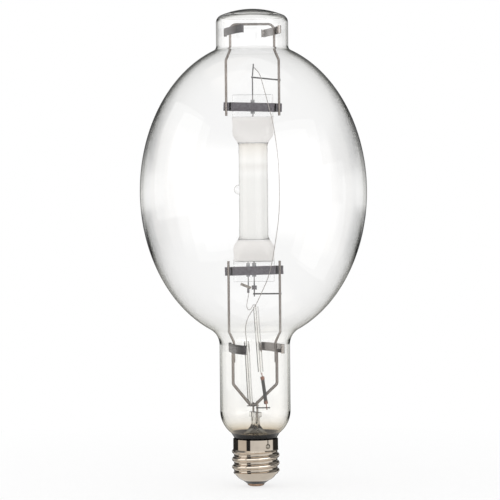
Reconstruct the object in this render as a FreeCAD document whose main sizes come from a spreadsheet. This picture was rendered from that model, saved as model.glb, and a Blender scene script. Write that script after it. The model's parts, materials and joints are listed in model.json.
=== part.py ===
import FreeCAD
import Part
import math
import os
import re
import Sketcher

V = FreeCAD.Vector

# Driving dimensions in millimetres and degrees. The origin is the tip of the centre contact,
# +Z runs up the lamp's axis, -Y is the side seen in the photograph and +X is to its right.
SIZES = {
    # outer jacket
    "bulb_half_width": 93.1,
    "bulb_half_height": 122.8,
    "bulb_centre_height": 241.6,
    "nose_height": 26.6,
    "nose_radius": 29.6,
    "nose_fillet": 4.0,
    "dome_corner_radius": 6.5,
    "dome_crown_radius": 67.0,
    "neck_radius": 28.9,
    "neck_fillet": 14.5,
    "neck_shoulder_rise": 23.2,
    "neck_shoulder_radius": 23.4,
    "neck_shoulder_drop": 18.5,
    "glass_wall": 1.25,
    "seal_radius": 16.4,
    "seal_depth": 8.8,
    "seal_cone_drop": 0.8,
    "seal_cone_slope": 0.35,
    # screw base
    "shell_rim_height": 38.8,
    "shell_collar_radius": 18.4,
    "shell_collar_length": 8.8,
    "shell_collar_step": 0.8,
    "shell_wall": 0.5,
    "shell_root_radius": 17.75,
    "shell_bottom_height": 4.7,
    "shell_bottom_radius": 10.9,
    "shell_lip_height": 0.55,
    "shell_shoulder_radius": 11.0,
    "shell_shoulder_height": 12.5,
    "thread_crest_radius": 19.525,
    "thread_pitch": 6.35,
    "thread_first_crest": 6.1,
    "thread_bottom_height": 9.9,
    "thread_runout": 1.4,
    "thread_overrun": 0.735,
    "thread_fade": 2.8,
    "thread_merge": 0.03,
    "thread_margin": 0.2,
    "thread_sink": 0.25,
    "insulator_tip_height": 2.2,
    "insulator_tip_radius": 7.5,
    "insulator_floor": 9.6,
    "insulator_seat_width": 2.2,
    "insulator_cup_depth": 3.0,
    "contact_radius": 7.0,
    "contact_flat_radius": 4.8,
    "contact_edge_height": 1.5,
    "contact_edge_radius": 2.6,
    "contact_stalk_radius": 2.0,
    "contact_stalk_height": 5.5,
    "contact_hole_floor": 0.9,
    "cement_top_drop": 1.8,
    "cement_height": 5.5,
    # stem
    "press_turn": -57.0,
    "press_half_spacing": 2.98,
    "press_width": 10.0,
    "press_thickness": 4.4,
    "press_rise": 21.6,
    "press_length": 13.9,
    "ear_width": 13.5,
    "ear_thickness": 6.0,
    "ear_length": 3.8,
    "flare_top_rise": 4.0,
    "flare_top_inset": 0.6,
    "flare_neck_radius": 4.2,
    "flare_neck_rise": 2.3,
    "flare_knee_radius": 8.0,
    "flare_knee_drop": 2.3,
    "flare_knee_offset": 0.7,
    "flare_radius": 14.0,
    "flare_skirt_height": 5.5,
    "flare_bend_radius": 10.5,
    "flange_thickness": 1.0,
    "flare_wall": 1.0,
    "exhaust_hole_radius": 0.8,
    "exhaust_radius": 2.2,
    "exhaust_wall": 0.7,
    "exhaust_root_drop": 0.5,
    "exhaust_tip_radius": 0.88,
    "exhaust_tip_wall": 1.0,
    "exhaust_tip_height": 24.0,
    "post_diameter": 1.6,
    "post_seal_depth": 7.4,
    "post_overrun": 4.0,
    "post_crossing": 1.2,
    "cut_margin": 1.0,
    # lead-out wires and solder
    "lead_wire_diameter": 0.8,
    "centre_wire_knee_drop": 3.0,
    "centre_wire_foot_rise": 4.0,
    "centre_wire_bend": 3.0,
    "side_wire_diameter": 0.5,
    "side_wire_gap": 0.12,
    "side_wire_drop": 2.0,
    "side_wire_lower_rise": 0.6,
    "side_wire_upper_rise": 3.4,
    "side_wire_tail": 0.7,
    "side_wire_bend": 0.5,
    "solder_drop": 5.2,
    "solder_radius": 2.4,
    "solder_depth": 1.3,
    # frame
    "weld_gap": 0.02,
    "rod_diameter": 2.0,
    "rod_bend": 5.0,
    "wishbone_diameter": 2.4,
    "wishbone_half_width": 18.0,
    "wishbone_top_rise": 51.6,
    "wishbone_arm_length": 28.6,
    "wishbone_vertex_rise": 3.8,
    "wishbone_vertex_shift": 0.8,
    "wishbone_bend": 4.0,
    "lower_rod_lap": 10.8,
    "lower_rod_knee_rise": 6.0,
    "lower_rod_joggle_length": 10.0,
    "lower_rod_half_width": 21.0,
    "lower_rod_overrun": 8.0,
    "hoop_foot_drop": 7.1,
    "hoop_half_width": 21.7,
    "hoop_joggle_length": 9.0,
    "hoop_nose_length": 20.4,
    "hoop_nose_half_width": 18.0,
    "hoop_top_gap": 12.6,
    # leaf springs
    "spring_thickness": 0.3,
    "spring_tip_radius": 1.3,
    "spring_tip_turn": 165.0,
    "nose_spring_width": 6.4,
    "nose_spring_drop": 5.4,
    "nose_spring_half_span": 53.0,
    "nose_spring_left_turn": 199.5,
    "nose_spring_right_turn": 17.0,
    "neck_spring_width": 7.5,
    "neck_spring_rise": 1.0,
    "neck_spring_half_span": 55.0,
    "neck_spring_left_turn": 197.0,
    "neck_spring_right_turn": 23.0,
    # straps
    "strap_thickness": 0.5,
    "strap_width": 7.0,
    "strap_half_length": 24.0,
    "strap_tab_length": 4.8,
    "strap_joggle": 1.5,
    "upper_strap_inset": 10.1,
    "upper_strap_tilt": 1.7,
    "lower_strap_inset": 9.0,
    "lower_strap_tilt": -1.2,
    # arc tube
    "tube_radius": 11.8,
    "tube_bore_radius": 10.3,
    "pinch_half_width": 16.75,
    "pinch_thickness": 6.5,
    "pinch_top_rise": 79.0,
    "pinch_bottom_drop": 74.1,
    "upper_pinch_length": 33.1,
    "lower_pinch_length": 29.0,
    "press_blend": 15.5,
    "blend_overlap": 0.5,
    "blend_straight": 4.0,
    "blend_swell_run": 6.0,
    "blend_shoulder_run": 0.5,
    "blend_edge_run": 5.0,
    "blend_flat_run": 10.5,
    "round_width_ratio": 1.001,
    "swell_width_ratio": 1.08,
    "shoulder_width_ratio": 0.98,
    "shoulder_depth_ratio": 0.96,
    "edge_depth_ratio": 0.75,
    "flat_depth_ratio": 1.5,
    "bore_dome_drop": 3.0,
    "bore_dome_height": 10.0,
    "bore_dome_radius": 10.8,
    "bore_cone_rise": 3.0,
    "bore_cone_height": 13.5,
    "bore_tip_radius": 3.1,
    "bore_tip_height": 1.2,
    "tip_off_rise": 1.4,
    "tip_off_length": 4.2,
    "tip_off_half_height": 4.0,
    "tip_off_half_depth": 3.0,
    # electrodes, foils and leads of the arc tube
    "electrode_rod_diameter": 1.2,
    "electrode_coil_radius": 1.9,
    "electrode_coil_turns": 5.0,
    "electrode_coil_wire": 0.7,
    "coil_arc_ratio": 1.05,
    "electrode_tip_length": 1.6,
    "upper_electrode_rise": 34.9,
    "lower_electrode_drop": 34.1,
    "probe_electrode_diameter": 0.6,
    "probe_electrode_reach": 9.5,
    "probe_half_spacing": 4.9,
    "foil_thickness": 0.16,
    "foil_width": 3.4,
    "probe_foil_width": 2.85,
    "foil_length": 11.5,
    "foil_inset": 4.1,
    "seal_clearance": 0.03,
    "lead_diameter": 1.0,
    "upper_lead_tail": 11.0,
    "upper_lead_straight": 1.0,
    "upper_lead_lean": 0.9,
    "upper_lead_bend": 8.0,
    "lower_lead_reach": 12.2,
    "probe_lead_diameter": 0.9,
    "probe_lead_reach": 7.3,
    "ferrule_diameter": 1.9,
    "ferrule_overlap": 1.8,
    "ferrule_length": 3.7,
    "crossbar_diameter": 1.2,
    "crossbar_overhang": 1.0,
    "crossbar_far_overhang": 1.4,
    "upper_crossbar_rise": 14.4,
    "upper_crossbar_drop": 2.4,
    "lower_crossbar_lift": 2.1,
    # bimetal switch
    "clip_half_width": 2.1,
    "clip_height": 3.3,
    "clip_lift": 3.6,
    "clip_back": 1.2,
    "blade_length": 9.2,
    "blade_width": 2.2,
    "blade_thickness": 0.3,
    "blade_rise": 22.0,
    "blade_gap": 0.9,
    "blade_root_gap": 0.12,
    "blade_root_lift": 1.3,
    # starting circuit
    "resistor_diameter": 3.3,
    "resistor_length": 22.0,
    "resistor_cap_length": 2.6,
    "resistor_cap_wall": 0.25,
    "resistor_lead_diameter": 0.8,
    "resistor_lead_length": 5.2,
    "resistor_lead_drop": 1.6,
    "resistor_lead_foot": 9.5,
    "resistor_lead_head": 5.45,
    "resistor_rise": 28.8,
    "resistor_crossbar_diameter": 1.0,
    "resistor_crossbar_rise": 3.8,
    "resistor_crossbar_end": 12.0,
    "field_crosswire_diameter": 0.8,
    "field_crosswire_rise": 5.3,
    "field_crosswire_end": -6.8,
    "field_wire_diameter": 0.6,
    "field_wire_foot": -3.9,
    "field_wire_foot_drop": 0.7,
    "field_wire_top": 0.7,
    "field_wire_top_drop": 2.4,
    "probe_wire_diameter": 0.5,
    "probe_wire_lap": 0.1,
    "probe_wire_straight": 1.5,
    "probe_wire_tail": 1.0,
    "left_sleeve_diameter": 4.2,
    "left_sleeve_mouth": -6.8,
    "left_sleeve_mouth_depth": 1.0,
    "left_sleeve_mouth_drop": 34.3,
    "left_sleeve_upper_gap": 2.0,
    "left_sleeve_lower_gap": 3.0,
    "right_sleeve_diameter": 4.5,
    "right_sleeve_mouth": 1.0,
    "right_sleeve_mouth_depth": 2.0,
    "right_sleeve_mouth_drop": 6.9,
    "right_sleeve_upper_gap": 1.5,
    "right_sleeve_lower_gap": 1.7,
    "sleeve_wall": 0.55,
}

# Heights that follow from the driving sizes. What the neck holds is set from the shell's rim,
# and the arc tube with all that hangs on it is set from the light centre in the bulb's middle.
FOLLOWING = {
    "overall_length": "bulb_centre_height + bulb_half_height + nose_height",
    "neck_shoulder_height": "shell_rim_height + neck_shoulder_rise",
    "seal_height": "shell_rim_height - seal_depth",
    "seal_cone_height": "shell_rim_height - seal_cone_drop",
    "shell_collar_height": "shell_rim_height - shell_collar_length",
    "thread_top_height": "shell_collar_height - thread_runout",
    "solder_height": "shell_rim_height - solder_drop",
    "cement_top_height": "shell_rim_height - cement_top_drop",
    "cement_bottom_height": "cement_top_height - cement_height",
    "press_height": "shell_rim_height + press_rise",
    "press_bottom_height": "press_height - press_length",
    "ear_bottom_height": "press_height - ear_length",
    "flare_top_height": "press_bottom_height + flare_top_rise",
    "flare_neck_height": "press_bottom_height + flare_neck_rise",
    "flare_knee_height": "press_bottom_height - flare_knee_drop",
    "flare_bend_height": "seal_height + flare_skirt_height",
    "post_seal_height": "press_height - post_seal_depth",
    "wishbone_vertex_height": "press_height + wishbone_vertex_rise",
    "wishbone_top_height": "press_height + wishbone_top_rise",
    "wishbone_knee_height": "wishbone_top_height - wishbone_arm_length",
    "resistor_crossbar_height": "press_height + resistor_crossbar_rise",
    "field_crosswire_height": "press_height + field_crosswire_rise",
    "left_post_height": "wishbone_vertex_height + post_overrun",
    "right_post_height": "field_crosswire_height + post_overrun",
    "neck_spring_height": "wishbone_top_height + neck_spring_rise",
    "lower_rod_end_height": "wishbone_top_height - lower_rod_lap",
    "lower_rod_knee_height": "wishbone_top_height + lower_rod_knee_rise",
    "lower_rod_bend_height": "lower_rod_knee_height + lower_rod_joggle_length",
    "lower_rod_top_height": "lower_strap_height + lower_rod_overrun",
    "pinch_top": "bulb_centre_height + pinch_top_rise",
    "pinch_bottom": "bulb_centre_height - pinch_bottom_drop",
    "upper_strap_height": "pinch_top - upper_strap_inset",
    "lower_strap_height": "pinch_bottom + lower_strap_inset",
    "hoop_foot_height": "upper_strap_height - hoop_foot_drop",
    "hoop_top_height": "overall_length - hoop_top_gap",
    "hoop_knee_height": "hoop_top_height - hoop_nose_length",
    "hoop_bend_height": "hoop_knee_height - hoop_joggle_length",
    "nose_spring_height": "hoop_top_height - nose_spring_drop",
    "upper_press_line": "pinch_top - upper_pinch_length",
    "lower_press_line": "pinch_bottom + lower_pinch_length",
    "bore_dome_foot": "upper_press_line - bore_dome_drop",
    "bore_dome_top": "bore_dome_foot + bore_dome_height",
    "bore_cone_foot": "lower_press_line + bore_cone_rise",
    "bore_cone_tip": "bore_cone_foot - bore_cone_height",
    "tip_off_height": "bulb_centre_height + tip_off_rise",
    "upper_electrode_tip": "bulb_centre_height + upper_electrode_rise",
    "lower_electrode_tip": "bulb_centre_height - lower_electrode_drop",
    "probe_electrode_tip": "bore_cone_tip + probe_electrode_reach",
    "upper_foil_top": "pinch_top - foil_inset",
    "upper_foil_bottom": "upper_foil_top - foil_length",
    "lower_foil_bottom": "pinch_bottom + foil_inset",
    "lower_foil_top": "lower_foil_bottom + foil_length",
    "upper_crossbar_height": "pinch_top + upper_crossbar_rise",
    "upper_lead_top": "upper_crossbar_height + upper_lead_tail",
    "lower_lead_bottom": "pinch_bottom - lower_lead_reach",
    "lower_crossbar_height": "lower_lead_bottom + lower_crossbar_lift",
    "probe_lead_bottom": "pinch_bottom - probe_lead_reach",
    "ferrule_top": "probe_lead_bottom + ferrule_overlap",
    "ferrule_bottom": "ferrule_top - ferrule_length",
    "clip_bottom": "lower_crossbar_height + clip_lift",
    "blade_root_height": "clip_bottom + blade_root_lift",
    "left_sleeve_mouth_height": "lower_lead_bottom - left_sleeve_mouth_drop",
    "right_sleeve_mouth_height": "lower_lead_bottom - right_sleeve_mouth_drop",
    "resistor_top_height": "resistor_crossbar_height + resistor_rise",
}

# A bend with no stated radius takes this share of the shorter run beside it.
CORNER_SHARE = 0.48

doc = FreeCAD.newDocument("metal_halide_lamp")
sheet = doc.addObject("Spreadsheet::Sheet", "Sizes")
for row, (alias, number) in enumerate(SIZES.items(), start=1):
    sheet.set(f"A{row}", alias)
    sheet.set(f"B{row}", str(number))
    sheet.setAlias(f"B{row}", alias)
doc.recompute()

nodes = []


def written_out(expression):
    """The expression with each size that follows written in driving ones."""
    return re.sub(
        r"[a-z]+_[a-z_]+",
        lambda word: f"({written_out(FOLLOWING[word[0]])})" if word[0] in FOLLOWING else word[0],
        str(expression),
    )


def value(expression):
    """The number that an expression in the sheet's words comes to."""
    found = sheet.evalExpression(written_out(expression))
    return float(getattr(found, "Value", found))


def named(expression):
    """The same expression as an object outside the sheet writes it."""
    return re.sub(
        r"[a-z]+_[a-z_]+",
        lambda word: f"Sizes.{word[0]}" if word[0] in SIZES else word[0],
        written_out(expression),
    )


def bind(thing, field, expression):
    """Ties one property of an object to the sheet."""
    thing.setExpression(field, named(expression))


def node(thing, label):
    """Labels a finished sub-part with the name of its file."""
    thing.Label = label
    nodes.append(thing)
    return thing


def origin_plane(body, role):
    return [item for item in body.Origin.OriginFeatures if item.Role == role][0]


def solve(function, low, high):
    """The root of a function that changes sign once between two values."""
    start = function(low)
    for _ in range(60):
        middle = (low + high) / 2
        if (function(middle) > 0) == (start > 0):
            low = middle
        else:
            high = middle
    return (low + high) / 2


class Outline:
    """A closed sketch drawn point by point, with every point and radius tied to the sheet."""

    def __init__(self, sketch, x, y):
        self.sketch = sketch
        self.first = (x, y)
        self.last = (x, y)
        self.chain = []
        self.ties = []

    def point(self, place):
        return V(value(place[0]), value(place[1]), 0)

    def end_at(self, index, point):
        """The number of the curve's end that lies at a point."""
        return min((1, 2), key=lambda end: (self.sketch.getPoint(index, end) - point).Length)

    def tie(self, kind, *parts, expression=None):
        if expression is not None:
            parts = (*parts, value(expression))
        self.ties.append((Sketcher.Constraint(kind, *parts), expression))

    def add(self, curve, begin, join="Coincident"):
        """Adds a curve that starts where the one before it ended."""
        index = self.sketch.addGeometry(curve, False)
        if self.chain:
            before = self.chain[-1]
            self.tie(join, before, self.end_at(before, begin), index, self.end_at(index, begin))
        self.chain.append(index)
        return index

    def fix(self, index, place):
        """Ties the curve's end at a place to the sheet."""
        end = self.end_at(index, self.point(place))
        self.tie("DistanceX", -1, 1, index, end, expression=place[0])
        self.tie("DistanceY", -1, 1, index, end, expression=place[1])

    def line(self, x, y):
        begin = self.point(self.last)
        index = self.add(Part.LineSegment(begin, self.point((x, y))), begin)
        self.fix(index, (x, y))
        self.last = (x, y)
        return self

    def arc(self, x, y, radius, left=True):
        """An arc to a point, bulging to the left or to the right of the way there."""
        begin, end, r = self.point(self.last), self.point((x, y)), value(radius)
        chord = end.sub(begin)
        half = chord.Length / 2
        side = V(-chord.y, chord.x, 0).normalize() * (1 if left else -1)
        middle = (begin + end) * 0.5 + side * (r - math.sqrt(max(r * r - half * half, 0)))
        index = self.add(Part.Arc(begin, middle, end), begin)
        self.fix(index, (x, y))
        self.tie("Radius", index, expression=radius)
        self.last = (x, y)
        return self

    def close(self):
        """Draws the last side back to the first point and ties the sketch."""
        if self.point(self.last).sub(self.point(self.first)).Length > 1e-6:
            self.line(*self.first)
        start = self.point(self.first)
        last = self.chain[-1]
        first = self.chain[0]
        self.tie("Coincident", last, self.end_at(last, start), first, self.end_at(first, start))
        self.apply()

    def apply(self):
        numbers = self.sketch.addConstraint([tie for tie, _ in self.ties])
        for number, (_, expression) in zip(numbers, self.ties):
            if expression is not None:
                self.sketch.setExpression(f"Constraints[{number}]", named(expression))


def new_body(name, role="XZ_Plane"):
    """A body with one empty sketch on an origin plane."""
    body = doc.addObject("PartDesign::Body", name)
    sketch = body.newObject("Sketcher::SketchObject", f"{name}_outline")
    sketch.AttachmentSupport = [(origin_plane(body, role), "")]
    sketch.MapMode = "FlatFace"
    return body, sketch


def revolve(body, sketch):
    turn = body.newObject("PartDesign::Revolution", f"{body.Name}_turn")
    turn.Profile = sketch
    turn.ReferenceAxis = (sketch, ["V_Axis"])
    turn.Angle = 360
    body.Tip = turn
    return turn


def turned(name, start, steps):
    """A turned piece: an outline of lines and arcs taken once around the lamp's axis."""
    body, sketch = new_body(name)
    outline = Outline(sketch, *start)
    for step in steps:
        if len(step) == 2:
            outline.line(*step)
        else:
            outline.arc(*step)
    outline.close()
    revolve(body, sketch)
    return body


def padded(name, length, role="XY_Plane"):
    """A body whose sketch is padded evenly to both sides of its plane."""
    body, sketch = new_body(name, role)
    pad = body.newObject("PartDesign::Pad", f"{name}_pad")
    pad.Profile = sketch
    bind(pad, "Length", length)
    pad.Midplane = True
    body.Tip = pad
    return body, sketch


def cut(name, carrier, tools):
    """One solid less the tools that fit in it."""
    if len(tools) > 1:
        together = doc.addObject("Part::MultiFuse", f"{name}_tools")
        together.Shapes = tools
    else:
        together = tools[0]
    result = doc.addObject("Part::Cut", name)
    result.Base = carrier
    result.Tool = together
    return result


def fuse(name, shapes):
    result = doc.addObject("Part::MultiFuse", name)
    result.Shapes = shapes
    return result


def cylinder(name, radius, bottom, height, x="0", y="0"):
    """An upright cylinder with its foot at a height."""
    solid = doc.addObject("Part::Cylinder", name)
    bind(solid, "Radius", radius)
    bind(solid, "Height", height)
    bind(solid, "Placement.Base.x", x)
    bind(solid, "Placement.Base.y", y)
    bind(solid, "Placement.Base.z", bottom)
    return solid


def box(name, width, depth, bottom, height, x="0", y="0"):
    """An upright box that stands centred on a point."""
    solid = doc.addObject("Part::Box", name)
    bind(solid, "Length", width)
    bind(solid, "Width", depth)
    bind(solid, "Height", height)
    bind(solid, "Placement.Base.x", f"({x}) - ({width}) / 2")
    bind(solid, "Placement.Base.y", f"({y}) - ({depth}) / 2")
    bind(solid, "Placement.Base.z", bottom)
    return solid


def places(points):
    return [V(*(value(part) for part in point)) for point in points]


def rounded_path(points, bend=None):
    """Straight runs through the points with a round bend at each corner.

    With no bend given, each corner gets the widest one that its two runs leave room for."""
    edges = []
    here = points[0]
    for before, corner, after in zip(points, points[1:], points[2:]):
        into = corner.sub(here).normalize()
        out = after.sub(corner).normalize()
        angle = into.getAngle(out)
        room = CORNER_SHARE * min((corner - before).Length, (after - corner).Length)
        reach = room if bend is None else bend * math.tan(angle / 2)
        radius = reach / math.tan(angle / 2)
        begin = corner.sub(into * reach)
        end = corner.add(out * reach)
        inward = out.sub(into).normalize()
        middle = corner.add(inward * (radius / math.cos(angle / 2) - radius))
        edges.append(Part.makeLine(here, begin))
        edges.append(Part.Arc(begin, middle, end).toShape())
        here = end
    edges.append(Part.makeLine(here, points[-1]))
    return Part.Wire(edges)


def sweep(name, wire, diameter):
    """A round wire or rod along a path."""
    path = doc.addObject("Part::Feature", f"{name}_path")
    path.Shape = wire
    first = wire.OrderedEdges[0]
    begin = first.valueAt(first.FirstParameter)
    heading = first.tangentAt(first.FirstParameter)
    section = doc.addObject("Part::Circle", f"{name}_section")
    bind(section, "Radius", f"({diameter}) / 2")
    section.Placement = FreeCAD.Placement(begin, FreeCAD.Rotation(V(0, 0, 1), heading))
    swept = doc.addObject("Part::Sweep", name)
    swept.Sections = [section]
    swept.Spine = (path, [f"Edge{number + 1}" for number in range(len(wire.Edges))])
    swept.Solid = True
    swept.Frenet = False
    return swept


def rod(name, points, bend, diameter):
    return sweep(name, rounded_path(places(points), value(bend)), diameter)


def bulb_foot(side, radius, centre_x, depth):
    """Where a fillet above or below the bulb's middle meets it, and the fillet's centre."""
    width = value("bulb_half_width") - depth
    height = value("bulb_half_height") - depth
    reach = value(centre_x)

    def place(angle):
        point = V(width * math.cos(angle), side * height * math.sin(angle), 0)
        outward = V(math.cos(angle) / width, side * math.sin(angle) / height, 0).normalize()
        return point, point + outward * radius

    angle = solve(lambda turn: place(turn)[1].x - reach, math.radians(20), math.radians(89))
    middle = V(0, value("bulb_centre_height"), 0)
    point, centre = place(angle)
    return point + middle, centre + middle


def bent(begin, centre, end):
    """An arc about a centre by its shorter way round."""
    toward = ((begin + end) * 0.5 - centre).normalize()
    return Part.Arc(begin, centre + toward * (begin - centre).Length, end)


def jacket_wall(sketch, wall):
    """One face of the jacket's glass, from the crown down to the seal."""
    depth = value(wall)
    nose = f"(nose_radius - {wall})"
    neck = f"(neck_radius - {wall})"
    crown = f"(dome_crown_radius - {wall})"
    corner_x = "(nose_radius - dome_corner_radius)"
    spread = "(dome_crown_radius - dome_corner_radius)"
    corner_rise = f"sqrt({spread} ^ 2 - {corner_x} ^ 2)"
    corner_z = f"(overall_length - dome_crown_radius + {corner_rise})"
    knee_x = f"({corner_x} * {crown} / {spread})"
    knee_z = f"(overall_length - dome_crown_radius + {corner_rise} * {crown} / {spread})"
    shoulder = f"(neck_shoulder_radius - {wall})"
    drop = f"(neck_shoulder_drop * {shoulder} / neck_shoulder_radius)"
    turn_x = f"(neck_radius - neck_shoulder_radius + sqrt({shoulder} ^ 2 - {drop} ^ 2))"
    seal = f"(seal_radius - {wall})"

    outline = Outline(sketch, "0", f"(overall_length - {wall})")
    outline.arc(knee_x, knee_z, crown)
    outline.arc(nose, corner_z, f"(dome_corner_radius - {wall})")
    outline.fix(outline.chain[0], outline.first)

    nose_fillet = depth + value("nose_fillet")
    neck_fillet = depth + value("neck_fillet")
    above, nose_centre = bulb_foot(1, nose_fillet, "nose_radius + nose_fillet", depth)
    below, neck_centre = bulb_foot(-1, neck_fillet, "neck_radius + neck_fillet", depth)
    nose_top = outline.point((nose, corner_z))
    nose_end = V(value(nose), nose_centre.y, 0)
    neck_top = V(value(neck), neck_centre.y, 0)
    neck_end = outline.point((neck, "neck_shoulder_height"))
    middle = V(0, value("bulb_centre_height"), 0)
    width = value("bulb_half_width") - depth
    height = value("bulb_half_height") - depth
    ellipse = Part.Ellipse(middle + V(0, height, 0), middle - V(width, 0, 0), middle)

    nose_line = outline.add(Part.LineSegment(nose_top, nose_end), nose_top)
    nose_arc = outline.add(bent(nose_end, nose_centre, above), nose_end, "Tangent")
    bulb = outline.add(
        Part.ArcOfEllipse(ellipse, ellipse.parameter(below), ellipse.parameter(above)),
        above,
        "Tangent",
    )
    sketch.exposeInternalGeometry(bulb)
    neck_arc = outline.add(bent(below, neck_centre, neck_top), below, "Tangent")
    neck_line = outline.add(Part.LineSegment(neck_top, neck_end), neck_top, "Tangent")
    outline.tie("Vertical", nose_line)
    outline.tie("Vertical", neck_line)
    outline.tie("Radius", nose_arc, expression=f"nose_fillet + {wall}")
    outline.tie("Radius", neck_arc, expression=f"neck_fillet + {wall}")
    outline.tie("DistanceX", -1, 1, bulb, 3, expression="0")
    outline.tie("DistanceY", -1, 1, bulb, 3, expression="bulb_centre_height")
    outline.tie("Vertical", bulb + 1)
    outline.tie("Distance", bulb + 1, expression=f"(bulb_half_height - {wall}) * 2")
    outline.tie("Distance", bulb + 2, expression=f"(bulb_half_width - {wall}) * 2")
    outline.last = (neck, "neck_shoulder_height")
    outline.fix(neck_line, outline.last)
    outline.arc(turn_x, f"(neck_shoulder_height - {drop})", shoulder)
    outline.line(seal, f"seal_cone_height + {wall} * seal_cone_slope")
    outline.line(seal, "seal_height")
    outline.apply()
    return outline


def make_outer_jacket():
    body, sketch = new_body("outer_jacket")
    outer = jacket_wall(sketch, "0")
    inner = jacket_wall(sketch, "glass_wall")
    for end, begin_place, end_place in ((0, outer.first, inner.first), (-1, outer.last, inner.last)):
        begin = outer.point(begin_place)
        finish = inner.point(end_place)
        across = sketch.addGeometry(Part.LineSegment(begin, finish), False)
        outside = outer.chain[end]
        inside = inner.chain[end]
        sketch.addConstraint(
            [
                Sketcher.Constraint("Coincident", across, 1, outside, outer.end_at(outside, begin)),
                Sketcher.Constraint("Coincident", across, 2, inside, inner.end_at(inside, finish)),
            ]
        )
    revolve(body, sketch)
    return node(body, "outer_jacket")


def make_screw_shell():
    """The rolled shell: a knuckle ridge wound up a turned blank that is then hollowed."""
    core = "(shell_root_radius + thread_merge)"
    outside = [
        ("shell_bottom_radius", "shell_bottom_height"),
        (core, "shell_shoulder_height", "shell_shoulder_radius", False),
        (core, "shell_collar_height - shell_collar_step"),
        ("shell_collar_radius", "shell_collar_height"),
        ("shell_collar_radius", "shell_rim_height"),
        ("0", "shell_rim_height"),
    ]
    axis_foot = ("0", "shell_bottom_height")
    threaded = turned("shell_blank", axis_foot, outside)
    ridge = threaded.newObject("Sketcher::SketchObject", "thread_section")
    ridge.AttachmentSupport = [(origin_plane(threaded, "XZ_Plane"), "")]
    ridge.MapMode = "FlatFace"
    corners = knuckle_section()
    for here, after in zip(corners, corners[1:] + corners[:1]):
        ridge.addGeometry(Part.LineSegment(here, after), False)
    thread = threaded.newObject("PartDesign::AdditiveHelix", "thread")
    thread.Profile = ridge
    thread.ReferenceAxis = (ridge, ["V_Axis"])
    thread.Mode = 0
    bind(thread, "Pitch", "thread_pitch")
    bind(
        thread,
        "Height",
        "thread_top_height + thread_fade - thread_first_crest + thread_overrun",
    )
    threaded.Tip = thread

    full = "thread_crest_radius + thread_margin"
    buried = "shell_root_radius - thread_margin"
    fade = turned(
        "thread_fade_limit",
        (buried, "thread_bottom_height"),
        [
            (full, "thread_bottom_height + thread_fade"),
            (full, "thread_top_height"),
            (buried, "thread_top_height + thread_fade"),
        ],
    )
    limits = fuse("shell_limits", [turned("shell_limit", axis_foot, outside), fade])
    faded = doc.addObject("Part::MultiCommon", "thread_faded")
    faded.Shapes = [threaded, limits]
    hollow = turned("shell_hollow", ("0", "shell_bottom_height - cut_margin"), shell_inside())
    return node(cut("screw_shell", faded, [hollow]), "screw_shell")


def shell_inside():
    """The inner wall's outline, from the opening at the bottom to above the rim."""
    core = "(shell_root_radius + thread_merge - shell_wall)"
    collar = "(shell_collar_radius - shell_wall)"
    return [
        ("shell_bottom_radius", "shell_bottom_height - cut_margin"),
        ("shell_bottom_radius", "shell_bottom_height + shell_lip_height"),
        (core, "shell_shoulder_height", "shell_shoulder_radius - shell_wall", False),
        (core, "shell_collar_height - shell_collar_step"),
        (collar, "shell_collar_height"),
        (collar, "shell_rim_height + cut_margin"),
        ("0", "shell_rim_height + cut_margin"),
    ]


# Where the corners of the thread's flats lie on a quarter of its wave.
CREST_SHARES = (0, 1 / 3, 2 / 3, 1)
ROOT_SHARES = (2 / 3, 1 / 3, 1 / 4)


def knuckle_section():
    """The thread's crest arc and the halves of the root arcs beside it, in short flats."""
    pitch = value("thread_pitch")
    root = value("shell_root_radius")
    depth = value("thread_crest_radius") - root
    radius = (depth**2 + pitch**2 / 4) / (4 * depth)
    sweep_angle = math.asin(pitch / 4 / radius)
    crest_x = root + depth - radius
    root_x = root + radius
    half = []
    for share in CREST_SHARES:
        angle = sweep_angle * share
        half.append((crest_x + radius * math.cos(angle), radius * math.sin(angle)))
    for share in ROOT_SHARES:
        angle = sweep_angle * share
        half.append((root_x - radius * math.cos(angle), pitch / 2 - radius * math.sin(angle)))
    half.append((root - value("thread_sink"), half[-1][1]))
    rise = value("thread_first_crest")
    corners = [V(x, rise + z, 0) for x, z in reversed(half)]
    return corners + [V(x, rise - z, 0) for x, z in half[1:]]


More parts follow.
